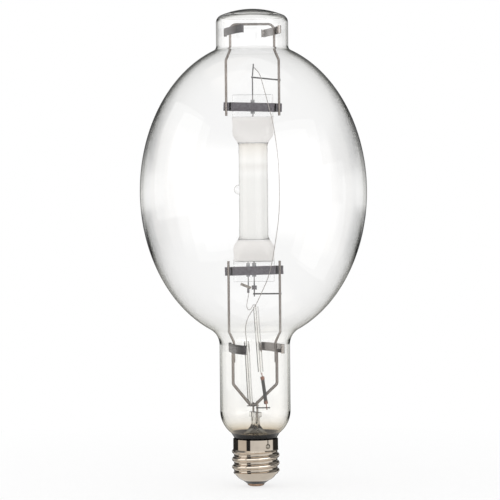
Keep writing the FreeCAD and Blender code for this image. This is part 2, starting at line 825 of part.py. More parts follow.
def make_base():
    make_screw_shell()
    core = "(shell_root_radius + thread_merge - shell_wall)"
    bore = "(contact_stalk_radius + weld_gap)"
    node(
        turned(
            "base_insulator",
            (bore, "insulator_tip_height"),
            [
                ("insulator_tip_radius", "insulator_tip_height"),
                ("shell_bottom_radius", "shell_bottom_height"),
                ("shell_bottom_radius", "shell_bottom_height + shell_lip_height"),
                (core, "shell_shoulder_height", "shell_shoulder_radius - shell_wall", False),
                (f"{core} - insulator_seat_width", "shell_shoulder_height"),
                (f"{core} - insulator_seat_width - insulator_cup_depth", "insulator_floor"),
                (bore, "insulator_floor"),
            ],
        ),
        "base_insulator",
    )
    hole = "(lead_wire_diameter / 2 + weld_gap)"
    node(
        turned(
            "centre_contact",
            ("0", "0"),
            [
                ("contact_flat_radius", "0"),
                ("contact_radius", "contact_edge_height", "contact_edge_radius", False),
                ("contact_radius", "insulator_tip_height"),
                ("contact_stalk_radius", "insulator_tip_height"),
                ("contact_stalk_radius", "contact_stalk_height"),
                (hole, "contact_stalk_height"),
                (hole, "contact_hole_floor"),
                ("0", "contact_hole_floor"),
            ],
        ),
        "centre_contact",
    )
    turn = math.radians(value("press_turn"))

    def outward(radius, height):
        return V(radius * math.cos(turn), radius * math.sin(turn), height)

    spread = value("press_half_spacing")
    joint = value("post_seal_height")
    below = value("seal_height - flange_thickness - side_wire_drop")
    reach = "(side_wire_diameter / 2 + side_wire_gap)"
    gap_radius = value(f"seal_radius + {reach}")
    rim_radius = value(f"shell_collar_radius - shell_wall - {reach}")
    rim = value(f"shell_rim_height + {reach}")
    outside = value(f"shell_collar_radius + {reach}")
    solder = value("solder_height")
    side = sweep(
        "side_lead_wire",
        rounded_path(
            [
                outward(spread, joint),
                outward(spread, below),
                outward(gap_radius, below),
                outward(gap_radius, value("seal_height + side_wire_lower_rise")),
                outward(rim_radius, value("seal_height + side_wire_upper_rise")),
                outward(rim_radius, rim),
                outward(outside, rim),
                outward(outside, solder - value("side_wire_tail")),
            ],
            value("side_wire_bend"),
        ),
        "side_wire_diameter",
    )
    node(side, "side_lead_wire")
    centre = sweep(
        "centre_lead_wire",
        rounded_path(
            [
                outward(-spread, joint),
                outward(-spread, value("exhaust_tip_height - centre_wire_knee_drop")),
                V(0, 0, value("insulator_floor + centre_wire_foot_rise")),
                V(0, 0, value("contact_hole_floor + weld_gap")),
            ],
            value("centre_wire_bend"),
        ),
        "lead_wire_diameter",
    )
    node(centre, "centre_lead_wire")

    blob = doc.addObject("Part::Sphere", "solder_blob")
    bind(blob, "Radius", "solder_radius")
    blob.Placement = FreeCAD.Placement(
        outward(value("shell_collar_radius + solder_depth - solder_radius"), solder),
        FreeCAD.Rotation(V(0, 0, 1), V(-math.sin(turn), math.cos(turn), 0)),
    )
    collar = cylinder(
        "solder_collar", "shell_collar_radius", "shell_collar_height", "shell_rim_height"
    )
    node(cut("side_solder", blob, [collar, side]), "side_solder")

    ring = turned(
        "cement_ring",
        ("seal_radius", "cement_bottom_height"),
        [
            ("shell_collar_radius - shell_wall", "cement_bottom_height"),
            ("shell_collar_radius - shell_wall", "cement_top_height"),
            ("seal_radius", "cement_top_height"),
        ],
    )
    node(cut("base_cement", ring, [side]), "base_cement")


def stadium(name, width, thickness, height, angle="0"):
    """A flat-sided outline with round ends, level at a height."""
    sketch = doc.addObject("Sketcher::SketchObject", name)
    reach = value(f"({width} - {thickness}) / 2")
    radius = value(f"({thickness}) / 2")
    sketch.Placement = FreeCAD.Placement(
        V(0, 0, value(height)), FreeCAD.Rotation(V(0, 0, 1), value(angle))
    )
    right, left = V(reach, 0, 0), V(-reach, 0, 0)
    up, out = V(0, radius, 0), V(radius, 0, 0)
    sides = [
        Part.LineSegment(left - up, right - up),
        Part.Arc(right - up, right + out, right + up),
        Part.LineSegment(right + up, left + up),
        Part.Arc(left + up, left - out, left - up),
    ]
    for side in sides:
        sketch.addGeometry(side, False)
    ties = [
        Sketcher.Constraint("Tangent", 0, 2, 1, 1),
        Sketcher.Constraint("Tangent", 1, 2, 2, 1),
        Sketcher.Constraint("Tangent", 2, 2, 3, 1),
        Sketcher.Constraint("Coincident", 3, 2, 0, 1),
        Sketcher.Constraint("Horizontal", 0),
        Sketcher.Constraint("Symmetric", 1, 3, 3, 3, -1, 1),
    ]
    sketch.addConstraint(ties)
    across = sketch.addConstraint(Sketcher.Constraint("DistanceX", 3, 3, 1, 3, 2 * reach))
    sketch.setExpression(f"Constraints[{across}]", named(f"({width}) - ({thickness})"))
    round_end = sketch.addConstraint(Sketcher.Constraint("Radius", 1, radius))
    sketch.setExpression(f"Constraints[{round_end}]", named(f"({thickness}) / 2"))
    return sketch


def raised(name, sketch, height):
    """A sketch raised to a solid."""
    solid = doc.addObject("Part::Extrusion", name)
    solid.Base = sketch
    solid.DirMode = "Custom"
    solid.Dir = V(0, 0, 1)
    bind(solid, "LengthFwd", height)
    solid.Solid = True
    return solid


def post_place(side):
    """Where a stem post stands: -1 for the left one and 1 for the right one."""
    return (
        f"({side} * press_half_spacing * cos(press_turn))",
        f"({side} * press_half_spacing * sin(press_turn))",
    )


def make_stem():
    press = raised(
        "press_body",
        stadium(
            "press_outline",
            "press_width",
            "press_thickness",
            "press_bottom_height",
            "press_turn",
        ),
        "press_height - press_bottom_height",
    )
    ears = raised(
        "press_ears",
        stadium("ear_outline", "ear_width", "ear_thickness", "ear_bottom_height", "press_turn"),
        "press_height - ear_bottom_height",
    )
    seal = "seal_height"
    flare = turned(
        "stem_flare",
        ("0", "flare_top_height"),
        [
            ("flare_neck_radius - flare_top_inset", "flare_top_height"),
            ("flare_neck_radius", "flare_neck_height"),
            ("flare_knee_radius", "flare_knee_height"),
            ("flare_radius", "flare_bend_height", "flare_bend_radius"),
            ("flare_radius", seal),
            ("seal_radius", seal),
            ("seal_radius", f"{seal} - flange_thickness"),
            ("flare_radius - flare_wall", f"{seal} - flange_thickness"),
            ("flare_radius - flare_wall", "flare_bend_height"),
            (
                "flare_knee_radius - flare_knee_offset",
                "flare_knee_height - flare_knee_offset",
                "flare_bend_radius - flare_wall",
                False,
            ),
            ("exhaust_radius", "press_bottom_height - exhaust_root_drop"),
            ("exhaust_radius", "exhaust_tip_height + exhaust_radius"),
            ("exhaust_tip_radius", "exhaust_tip_height"),
            ("0", "exhaust_tip_height"),
        ],
    )
    bore = cylinder(
        "exhaust_bore",
        "exhaust_radius - exhaust_wall",
        "exhaust_tip_height + exhaust_radius + exhaust_tip_wall",
        "press_bottom_height - exhaust_tip_height - exhaust_radius - exhaust_tip_wall",
    )
    hole = cylinder(
        "exhaust_hole",
        "exhaust_hole_radius",
        "press_bottom_height - cut_margin",
        "press_length + 2 * cut_margin",
    )
    pockets = []
    for side, wire in ((-1, "lead_wire_diameter"), (1, "side_wire_diameter")):
        x, y = post_place(side)
        pockets.append(
            cylinder(
                f"post_pocket_{len(pockets)}",
                "post_diameter / 2 + seal_clearance",
                "post_seal_height",
                "press_height",
                x,
                y,
            )
        )
        pockets.append(
            cylinder(
                f"wire_pocket_{len(pockets)}",
                f"{wire} / 2 + seal_clearance",
                "flare_knee_height - 2 * cut_margin",
                "post_seal_height - flare_knee_height + 2 * cut_margin",
                x,
                y,
            )
        )
    glass = fuse("stem_joined", [press, ears, flare])
    node(cut("stem_glass", glass, [bore, hole, *pockets]), "stem_glass")
    for name, side, top in (
        ("left_stem_post", -1, "left_post_height"),
        ("right_stem_post", 1, "right_post_height"),
    ):
        x, y = post_place(side)
        length = f"{top} - post_seal_height"
        node(cylinder(name, "post_diameter / 2", "post_seal_height", length, x, y), name)


ROD_Y = "(-(strap_thickness + rod_diameter / 2 + weld_gap))"
WISHBONE_Y = f"({post_place(-1)[1]} - post_diameter / 2 - wishbone_diameter / 2 - weld_gap)"
LOWER_ROD_X = (
    "(wishbone_half_width - sqrt((rod_diameter / 2 + wishbone_diameter / 2 + weld_gap) ^ 2"
    f" - ({WISHBONE_Y} - {ROD_Y}) ^ 2))"
)


def make_frame():
    y = ROD_Y
    hoop = [
        ("hoop_half_width", y, "hoop_foot_height"),
        ("hoop_half_width", y, "hoop_bend_height"),
        ("hoop_nose_half_width", y, "hoop_knee_height"),
        ("hoop_nose_half_width", y, "hoop_top_height"),
    ]
    left = [(f"-{x}", y, z) for x, y, z in hoop]
    node(rod("upper_hoop", left + hoop[::-1], "rod_bend", "rod_diameter"), "upper_hoop")
    for name, side in (("left_side_rod", -1), ("right_side_rod", 1)):
        route = [
            (f"{side} * lower_rod_half_width", y, "lower_rod_top_height"),
            (f"{side} * lower_rod_half_width", y, "lower_rod_bend_height"),
            (f"{side} * {LOWER_ROD_X}", y, "lower_rod_knee_height"),
            (f"{side} * {LOWER_ROD_X}", y, "lower_rod_end_height"),
        ]
        node(rod(name, route, "rod_bend", "rod_diameter"), name)
    arm = [
        ("wishbone_half_width", WISHBONE_Y, "wishbone_top_height"),
        ("wishbone_half_width", WISHBONE_Y, "wishbone_knee_height"),
    ]
    vertex = (
        f"{post_place(-1)[0]} - wishbone_vertex_shift",
        WISHBONE_Y,
        "wishbone_vertex_height",
    )
    route = [(f"-{x}", y, z) for x, y, z in arm] + [vertex] + arm[::-1]
    node(rod("wishbone_yoke", route, "wishbone_bend", "wishbone_diameter"), "wishbone_yoke")


def leaf_spring(name, zone, turn, wall, carrier, carrier_radius):
    """A bowed strip that bears on the glass with its two curled tips.

    It lies against the outer side of the rod that carries it. The strip is drawn with its
    middle on the X axis, then turned about the lamp's axis."""
    thick = value("spring_thickness")
    tip = value("spring_tip_radius")
    span = math.radians(value(f"{zone}_spring_half_span"))
    bearing = value(wall) - thick / 2 - value("weld_gap")
    tip_centre = V((bearing - tip) * math.cos(span), (bearing - tip) * math.sin(span), 0)
    heading = math.radians(value(turn))
    place = V(value(carrier[0]), value(carrier[1]), 0)
    along = place.dot(V(math.cos(heading), math.sin(heading), 0))
    across = place.dot(V(-math.sin(heading), math.cos(heading), 0))
    clear = thick / 2 + value(carrier_radius) + value("weld_gap")

    def bow(slope):
        radius = tip_centre.y / math.sin(slope) + tip
        return radius, tip_centre.x - (radius - tip) * math.cos(slope)

    def gap(slope):
        radius, centre_x = bow(slope)
        return radius - math.hypot(along - centre_x, across) - clear

    slope = solve(gap, math.radians(0.5), math.radians(60))
    radius, centre_x = bow(slope)
    curl = math.radians(value("spring_tip_turn"))
    body, sketch = padded(name, f"{zone}_spring_width")
    low, high = V(tip_centre.x, -tip_centre.y, 0), tip_centre
    arcs = [
        (low, tip, -curl, -slope),
        (V(centre_x, 0, 0), radius, -slope, slope),
        (high, tip, slope, curl),
    ]
    for side in (1, -1):
        for centre, bend, begin, end in arcs:
            circle = Part.Circle(centre, V(0, 0, 1), bend + side * thick / 2)
            sketch.addGeometry(Part.ArcOfCircle(circle, begin, end), False)
    for centre, angle in ((low, -curl), (high, curl)):
        outward = V(math.cos(angle), math.sin(angle), 0)
        begin = centre + outward * (tip - thick / 2)
        end = centre + outward * (tip + thick / 2)
        sketch.addGeometry(Part.LineSegment(begin, end), False)
    body.Placement = FreeCAD.Placement(V(0, 0, 0), FreeCAD.Rotation(V(0, 0, 1), value(turn)))
    bind(body, "Placement.Base.z", f"{zone}_spring_height")
    return node(body, name)


def make_springs():
    nose = ("nose_radius - glass_wall", ROD_Y, "rod_diameter / 2", "hoop_nose_half_width")
    neck = (
        "neck_radius - glass_wall",
        WISHBONE_Y,
        "wishbone_diameter / 2",
        "wishbone_half_width",
    )
    for zone, (wall, y, radius, x) in (("nose", nose), ("neck", neck)):
        for hand, side in (("left", -1), ("right", 1)):
            leaf_spring(
                f"{zone}_spring_{hand}",
                zone,
                f"{zone}_spring_{hand}_turn",
                wall,
                (f"{side} * {x}", y),
                radius,
            )


def make_straps():
    """Each pinch is held by two strips, joggled round it and welded tab to tab."""
    flat = "(pinch_thickness / 2 + weld_gap)"
    tab = "(strap_half_length - strap_tab_length)"
    knee = f"({tab} - strap_joggle)"
    # The outer corners move out along the strip so that the slope keeps the strip's thickness.
    shift = f"(strap_thickness * (sqrt(strap_joggle ^ 2 + {flat} ^ 2) - {flat}) / strap_joggle)"
    near = [("strap_half_length", "0"), (tab, "0"), (knee, flat)]
    far = [
        ("strap_half_length", "strap_thickness"),
        (f"({tab} + {shift})", "strap_thickness"),
        (f"({knee} + {shift})", f"({flat} + strap_thickness)"),
    ]
    ring = near + [(f"-{x}", y) for x, y in near[::-1]]
    ring += [(f"-{x}", y) for x, y in far] + far[::-1]
    for level in ("upper", "lower"):
        for face, side in (("front", -1), ("back", 1)):
            name = f"{level}_strap_{face}"
            body, sketch = padded(name, "strap_width")
            corners = [(x, f"{side} * {y}") for x, y in ring]
            outline = Outline(sketch, *corners[0])
            for corner in corners[1:]:
                outline.line(*corner)
            outline.close()
            body.Placement = FreeCAD.Placement(
                V(0, 0, 0), FreeCAD.Rotation(V(0, 1, 0), value(f"{level}_strap_tilt"))
            )
            bind(body, "Placement.Base.z", f"{level}_strap_height")
            node(body, name)


def pinched_end(name, press_line, way, top):
    """The tube's end, blended from its round body to the flat pinch."""
    round_width = "tube_radius * 2 * round_width_ratio"
    stations = [
        ("-press_blend", round_width, "tube_radius * 2"),
        ("-press_blend + blend_straight", round_width, "tube_radius * 2"),
        ("-blend_swell_run", "tube_radius * 2 * swell_width_ratio", "tube_radius * 2"),
        (
            "-blend_shoulder_run",
            "pinch_half_width * 2 * shoulder_width_ratio",
            "tube_radius * 2 * shoulder_depth_ratio",
        ),
        ("blend_edge_run", "pinch_half_width * 2", "tube_radius * 2 * edge_depth_ratio"),
        ("blend_flat_run", "pinch_half_width * 2", "pinch_thickness * flat_depth_ratio"),
        ("press_blend", "pinch_half_width * 2", "pinch_thickness"),
    ]
    loft = doc.addObject("Part::Loft", f"{name}_blend")
    loft.Sections = [
        stadium(
            f"{name}_section_{number}", width, thickness, f"{press_line} + {way} * ({run})"
        )
        for number, (run, width, thickness) in enumerate(stations)
    ]
    loft.Solid = True
    loft.Ruled = False
    start = f"{press_line} + {way} * press_blend"
    low, high = (start, top) if way > 0 else (top, start)
    flat = raised(
        f"{name}_pinch",
        stadium(f"{name}_pinch_outline", "pinch_half_width * 2", "pinch_thickness", low),
        f"({high}) - ({low})",
    )
    return [loft, flat]


def make_arc_tube():
    trunk = cylinder(
        "tube_trunk",
        "tube_radius",
        "lower_press_line + press_blend - blend_overlap",
        "upper_press_line - lower_press_line - 2 * (press_blend - blend_overlap)",
    )
    ends = pinched_end("upper", "upper_press_line", 1, "pinch_top")
    ends += pinched_end("lower", "lower_press_line", -1, "pinch_bottom")
    nub = doc.addObject("Part::Ellipsoid", "tip_off")
    bind(nub, "Radius1", "tip_off_half_height")
    bind(nub, "Radius2", "tip_off_length")
    bind(nub, "Radius3", "tip_off_half_depth")
    bind(nub, "Placement.Base.x", "-tube_radius")
    bind(nub, "Placement.Base.z", "tip_off_height")
    bore = turned(
        "tube_bore",
        ("0", "bore_cone_tip"),
        [
            ("bore_tip_radius", "bore_cone_tip + bore_tip_height"),
            ("tube_bore_radius", "bore_cone_foot"),
            ("tube_bore_radius", "bore_dome_foot"),
            ("0", "bore_dome_top", "bore_dome_radius", False),
        ],
    )
    gap = "seal_clearance"
    channels = [
        (
            "upper_shank",
            "electrode_rod_diameter",
            "bore_dome_top - cut_margin",
            "upper_foil_bottom",
            "0",
        ),
        (
            "lower_shank",
            "electrode_rod_diameter",
            "lower_foil_top",
            "bore_cone_tip + cut_margin",
            "0",
        ),
        (
            "probe_shank",
            "probe_electrode_diameter",
            "lower_foil_top",
            "probe_electrode_tip",
            "-probe_half_spacing",
        ),
        ("upper_lead", "lead_diameter", "upper_foil_top", "pinch_top + cut_margin", "0"),
        ("lower_lead", "lead_diameter", "pinch_bottom - cut_margin", "lower_foil_bottom", "0"),
        (
            "probe_lead",
            "probe_lead_diameter",
            "pinch_bottom - cut_margin",
            "lower_foil_bottom",
            "-probe_half_spacing",
        ),
    ]
    tools = [bore]
    for name, diameter, low, high, x in channels:
        radius = f"{diameter} / 2 + {gap}"
        tools.append(cylinder(f"{name}_channel", radius, low, f"({high}) - ({low})", x))
    for foil in FOILS:
        tools.append(foil_box(f"{foil[0]}_pocket", foil, gap))
    outside = fuse("tube_outside", [trunk, *ends, nub])
    node(cut("arc_tube", outside, tools), "arc_tube")


FOILS = [
    ("upper_foil", "foil_width", "0", "upper_foil_bottom", "upper_foil_top"),
    ("lower_main_foil", "foil_width", "0", "lower_foil_bottom", "lower_foil_top"),
    (
        "probe_foil",
        "probe_foil_width",
        "-probe_half_spacing",
        "lower_foil_bottom",
        "lower_foil_top",
    ),
]


def foil_box(name, foil, gap="0"):
    _, width, x, bottom, top = foil
    return box(
        name,
        f"{width} + 2 * {gap}",
        f"foil_thickness + 2 * {gap}",
        bottom,
        f"{top} - {bottom}",
        x,
    )


def electrode(name, tip, seal, way):
    """A tungsten rod with a coil wound near its tip."""
    wire = "electrode_coil_wire"
    inside = f"(electrode_coil_radius - {wire})"
    core = "electrode_rod_diameter / 2"
    turns = int(value("electrode_coil_turns"))
    steps = [(core, tip), (core, f"{tip} + {way} * electrode_tip_length")]
    steps.append((inside, f"{tip} + {way} * electrode_tip_length"))
    for turn in range(1, turns + 1):
        height = f"{tip} + {way} * (electrode_tip_length + {turn} * 2 * {wire})"
        steps.append((inside, height, f"{wire} * coil_arc_ratio", way < 0))
    steps += [(core, steps[-1][1]), (core, seal), ("0", seal)]
    node(turned(name, ("0", tip), steps), name)


def make_discharge_parts():
    electrode("upper_electrode", "upper_electrode_tip", "upper_foil_bottom", 1)
    electrode("lower_electrode", "lower_electrode_tip", "lower_foil_top", -1)
    node(
        cylinder(
            "starting_electrode",
            "probe_electrode_diameter / 2",
            "lower_foil_top",
            "probe_electrode_tip - lower_foil_top",
            "-probe_half_spacing",
        ),
        "starting_electrode",
    )
    for foil in FOILS:
        node(foil_box(foil[0], foil), foil[0])
    node(
        rod(
            "upper_lead",
            [
                ("0", "0", "upper_foil_top"),
                ("0", "0", "upper_crossbar_height + upper_lead_straight"),
                ("upper_lead_lean", "0", "upper_lead_top"),
            ],
            "upper_lead_bend",
            "lead_diameter",
        ),
        "upper_lead",
    )
    node(
        cylinder(
            "lower_main_lead",
            "lead_diameter / 2",
            "lower_lead_bottom",
            "lower_foil_bottom - lower_lead_bottom",
        ),
        "lower_main_lead",
    )
    node(
        cylinder(
            "probe_lead",
            "probe_lead_diameter / 2",
            "probe_lead_bottom",
            "lower_foil_bottom - probe_lead_bottom",
            "-probe_half_spacing",
        ),
        "probe_lead",
    )
    ferrule = cylinder(
        "ferrule_body",
        "ferrule_diameter / 2",
        "ferrule_bottom",
        "ferrule_top - ferrule_bottom",
        "-probe_half_spacing",
    )
    hole = cylinder(
        "ferrule_hole",
        "probe_lead_diameter / 2 + weld_gap",
        "ferrule_bottom - cut_margin",
        "ferrule_length + 2 * cut_margin",
        "-probe_half_spacing",
    )
    node(cut("probe_ferrule", ferrule, [hole]), "probe_ferrule")


def make_crossbars():
    """Each bar runs from the back of an arc tube lead to the back of the right-hand rod."""
    behind_lead = "(lead_diameter / 2 + crossbar_diameter / 2 + weld_gap)"
    behind_rod = f"({ROD_Y} + rod_diameter / 2 + crossbar_diameter / 2 + weld_gap)"
    bars = (
        ("upper_crossbar", "hoop_half_width", "upper_crossbar_height", "upper_crossbar_drop"),
        ("lower_crossbar", "lower_rod_half_width", "lower_crossbar_height", "0"),
    )
    for name, reach, height, drop in bars:
        slope_y = f"(({behind_rod} - {behind_lead}) / {reach})"
        slope_z = f"(-({drop}) / {reach})"
        ends = []
        for x in ("-crossbar_overhang", f"{reach} + crossbar_far_overhang"):
            ends.append(
                (x, f"{behind_lead} + {slope_y} * ({x})", f"{height} + {slope_z} * ({x})")
            )
        node(straight(name, *places(ends), "crossbar_diameter"), name)


def straight(name, begin, end, diameter):
    """A straight round rod between two points."""
    solid = doc.addObject("Part::Cylinder", name)
    bind(solid, "Radius", f"({diameter}) / 2")
    solid.Height = (end - begin).Length
    solid.Placement = FreeCAD.Placement(begin, FreeCAD.Rotation(V(0, 0, 1), end - begin))
    return solid


def make_switch():
    """The bimetal blade and the clip that holds it to the main lead."""
    front = "(probe_lead_diameter / 2 + blade_gap + blade_thickness)"
    back = "clip_back"
    block = box(
        "clip_block",
        "clip_half_width * 2",
        f"{front} + {back}",
        "clip_bottom",
        "clip_height",
        "0",
        f"({back} - {front}) / 2",
    )
    hole = cylinder(
        "clip_hole",
        "lead_diameter / 2 + weld_gap",
        "clip_bottom - cut_margin",
        "clip_height + 2 * cut_margin",
    )
    node(cut("bimetal_clip", block, [hole]), "bimetal_clip")
    blade = doc.addObject("Part::Box", "bimetal_blade")
    bind(blade, "Length", "blade_length")
    bind(blade, "Width", "blade_thickness")
    bind(blade, "Height", "blade_width")
    rise = math.radians(value("blade_rise"))
    root = V(
        value("-clip_half_width - blade_root_gap"),
        value(f"-{front}"),
        value("blade_root_height"),
    )
    lean = V(math.sin(rise), 0, math.cos(rise)) * value("blade_width / 2")
    corner = root - lean - V(value("blade_width / 2") * math.sin(rise), 0, 0)
    # The box is turned so that its length runs up to the left, away from the clip.
    blade.Placement = FreeCAD.Placement(
        corner + V(0, value("blade_thickness"), 0),
        FreeCAD.Rotation(V(-math.cos(rise), 0, math.sin(rise)), V(0, -1, 0), lean, "XZY"),
    )
    node(blade, "bimetal_blade")


def make_starting_circuit():
    """The feed wire, the resistor and the starting wire, from the right-hand stem post."""
    weld_gap = value("weld_gap")
    post_x, post_y = (value(part) for part in post_place(1))
    post_end = value("post_diameter / 2 + weld_gap")
    crossing = value("post_crossing")
    cross_radius = value("field_crosswire_diameter / 2")
    cross = V(post_x + crossing, post_y + post_end + cross_radius, value("field_crosswire_height"))
    cross_end = V(value("field_crosswire_end"), cross.y, cross.z)
    node(
        straight("field_crosswire", cross_end, cross, "field_crosswire_diameter"),
        "field_crosswire",
    )
    bar_radius = value("resistor_crossbar_diameter / 2")
    bar = V(post_x - crossing, post_y - post_end - bar_radius, value("resistor_crossbar_height"))
    bar_end = V(value("resistor_crossbar_end"), bar.y, bar.z)
    node(
        straight("resistor_crossbar", bar, bar_end, "resistor_crossbar_diameter"),
        "resistor_crossbar",
    )
    lead_radius = value("resistor_lead_diameter / 2")
    lead_y = bar.y - bar_radius - lead_radius - weld_gap
    foot = V(value("resistor_lead_foot"), lead_y, bar.z - value("resistor_lead_drop"))
    head = V(value("resistor_lead_head"), lead_y, value("resistor_top_height"))
    make_resistor(foot, head)

    wire_y = cross.y - value("field_crosswire_diameter / 2 + field_wire_diameter / 2 + weld_gap")
    wire_foot = V(value("field_wire_foot"), wire_y, cross.z - value("field_wire_foot_drop"))
    mouth = V(
        value("left_sleeve_mouth"),
        wire_y - value("left_sleeve_mouth_depth"),
        value("left_sleeve_mouth_height"),
    )
    top = V(
        value("field_wire_top"),
        value("-lead_diameter / 2 - field_wire_diameter / 2 - weld_gap"),
        value("upper_lead_top - field_wire_top_drop"),
    )
    route = [top, *above_light_centre(FIELD_WIRE_ROUTE), mouth, wire_foot]
    node(sweep("field_wire", rounded_path(route), "field_wire_diameter"), "field_wire")
    sleeve_on("left", mouth, wire_foot, "field_wire_diameter", V(0, -1, 0))

    thin = value("probe_wire_diameter / 2")
    start_x = value("-probe_half_spacing + probe_lead_diameter / 2") - thin
    begin = V(start_x, 0, value("probe_lead_bottom - probe_wire_lap"))
    below = V(start_x, 0, value("ferrule_bottom - probe_wire_straight"))
    inlet = V(
        value("right_sleeve_mouth"),
        value("-right_sleeve_mouth_depth"),
        value("right_sleeve_mouth_height"),
    )
    outlet = V(
        head.x - lead_radius - thin - weld_gap, head.y, head.z - value("probe_wire_tail")
    )
    route = [begin, below, *above_light_centre(PROBE_WIRE_ROUTE), inlet, outlet]
    node(sweep("probe_wire", rounded_path(route), "probe_wire_diameter"), "probe_wire")
    sleeve_on("right", inlet, outlet, "probe_wire_diameter", V(0, 1, 0))


def make_resistor(foot, head):
    """A capped resistor on its two leads, which run from foot to head."""
    way = (head - foot).normalize()
    start = foot + way * value("resistor_lead_length")
    length = value("resistor_length")
    cap = value("resistor_cap_length")
    skin = value("resistor_cap_wall")
    radius = value("resistor_diameter / 2")
    end = start + way * (length + skin)
    lead_radius = value("resistor_lead_diameter / 2")

    def along(name, begin, run, size):
        solid = doc.addObject("Part::Cylinder", name)
        solid.Radius = size
        solid.Height = run
        solid.Placement = FreeCAD.Placement(begin, FreeCAD.Rotation(V(0, 0, 1), way))
        return solid

    node(along("resistor_body", start, length, radius - skin), "resistor_body")
    for name, cup_foot, lead_start, lead_end in (
        ("lower_resistor_cap", start - way * skin, foot, start - way * skin),
        ("upper_resistor_cap", end - way * cap, end, head),
    ):
        shell = along(f"{name}_cup", cup_foot, cap, radius)
        inside = along(f"{name}_hollow", start, length, radius - skin)
        cup = cut(f"{name}_shell", shell, [inside])
        lead = along(f"{name}_lead", lead_start, (lead_end - lead_start).Length, lead_radius)
        node(fuse(name, [cup, lead]), name)


# The bare wires' points between their ends: x, y and the height above the light centre.
FIELD_WIRE_ROUTE = [
    (5.9, -2.0, 96.6),
    (8.3, -3.3, 87.8),
    (12.4, -5.4, 72.1),
    (16.2, -7.4, 56.8),
    (18.4, -8.4, 43.1),
    (20.4, -9.0, 26.4),
    (21.3, -9.3, 7.4),
    (21.1, -9.2, -13.6),
    (19.9, -8.9, -26.9),
    (17.6, -8.3, -41.7),
    (14.9, -7.4, -57.3),
    (11.6, -6.4, -71.0),
    (5.5, -5.2, -84.0),
    (0.4, -4.5, -94.6),
    (-5.3, -3.6, -102.8),
    (-7.4, -3.3, -109.6),
    (-7.4, -3.1, -115.6),
]
PROBE_WIRE_ROUTE = [
    (-6.3, -0.2, -92.7),
    (-6.3, -0.3, -95.3),
    (-4.8, -0.5, -97.7),
    (-2.9, -0.8, -96.5),
    (-1.0, -1.3, -93.0),
]


def above_light_centre(route):
    middle = value("bulb_centre_height")
    return [V(x, y, middle + rise) for x, y, rise in route]


def sleeve_on(hand, inlet, outlet, wire, front):
    """A glass sleeve slipped over a straight run of wire, which bears on its bore."""
    size = f"{hand}_sleeve"
    name = f"{hand}_glass_sleeve"
    way = (outlet - inlet).normalize()
    aside = (front - way * front.dot(way)).normalize()
    shift = aside * value(f"{size}_diameter / 2 - sleeve_wall - {wire} / 2 - weld_gap")
    begin = inlet + way * value(f"{size}_upper_gap") + shift
    end = outlet - way * value(f"{size}_lower_gap") + shift
    margin = way * value("cut_margin")
    outside = straight(f"{name}_outside", begin, end, f"{size}_diameter")
    bore = f"{size}_diameter - 2 * sleeve_wall"
    inside = straight(f"{name}_bore", begin - margin, end + margin, bore)
    node(cut(name, outside, [inside]), name)


def export():
    doc.recompute()
    for item in doc.Objects:
        if "Invalid" in item.State or "Error" in item.State:
            raise RuntimeError(f"{item.Name} did not build: {item.getStatusString()}")
    os.makedirs("parts", exist_ok=True)
    for item in nodes:
        if item.Shape.isNull() or not item.Shape.isValid():
            raise RuntimeError(f"{item.Label} has no sound shape")
        item.Shape.exportStep(f"parts/{item.Label}.step")


make_outer_jacket()
make_base()
make_stem()
make_frame()
make_springs()
make_straps()
make_arc_tube()
make_discharge_parts()
make_crossbars()
make_switch()
make_starting_circuit()
export()
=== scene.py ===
import json
import math

import bpy
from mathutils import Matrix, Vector


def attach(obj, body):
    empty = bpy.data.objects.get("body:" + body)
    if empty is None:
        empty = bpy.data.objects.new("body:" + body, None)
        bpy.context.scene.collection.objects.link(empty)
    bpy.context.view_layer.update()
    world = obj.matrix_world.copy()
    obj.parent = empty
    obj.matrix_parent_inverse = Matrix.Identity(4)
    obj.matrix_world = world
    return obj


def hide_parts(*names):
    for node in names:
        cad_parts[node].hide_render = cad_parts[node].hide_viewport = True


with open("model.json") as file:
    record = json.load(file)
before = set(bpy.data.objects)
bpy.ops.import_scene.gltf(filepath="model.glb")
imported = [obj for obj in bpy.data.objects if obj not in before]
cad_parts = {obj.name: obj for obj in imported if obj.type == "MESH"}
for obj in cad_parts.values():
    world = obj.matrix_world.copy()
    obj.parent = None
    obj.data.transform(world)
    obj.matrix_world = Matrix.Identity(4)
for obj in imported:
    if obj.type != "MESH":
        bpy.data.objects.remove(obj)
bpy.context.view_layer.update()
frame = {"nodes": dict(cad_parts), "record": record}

NODES = frame["nodes"]
MM = 0.001

# Sizes of the drawn glass in millimetres, as in the part's own sketch of the jacket.
BULB_HALF_WIDTH = 93.1
BULB_HALF_HEIGHT = 122.8
BULB_CENTRE = 241.6
TOP = 391.0
NOSE_RADIUS = 29.6
NOSE_FILLET = 4.0
CROWN_RADIUS = 67.0
CROWN_CORNER = 6.5
NECK_RADIUS = 28.9
NECK_FILLET = 14.5
SHOULDER_HEIGHT = 62.0
SHOULDER_RADIUS = 23.4
SHOULDER_DROP = 18.5
SEAL_RADIUS = 16.4
SEAL_CONE_HEIGHT = 38.0
SEAL_CONE_SLOPE = 0.35
SEAL_HEIGHT = 30.0
GLASS_WALL = 1.25

# How finely the jacket is drawn: steps round it, and along each stretch of its outline.
JACKET_SEGMENTS = 256
CROWN_STEPS = 24
CORNER_STEPS = 14
NOSE_STEPS = 12
BULB_STEPS = 120
NECK_STEPS = 16
SHOULDER_STEPS = 20
FOOT_ANGLES = (math.radians(20), math.radians(89))
HALVINGS = 60
ON_AXIS = 1e-6

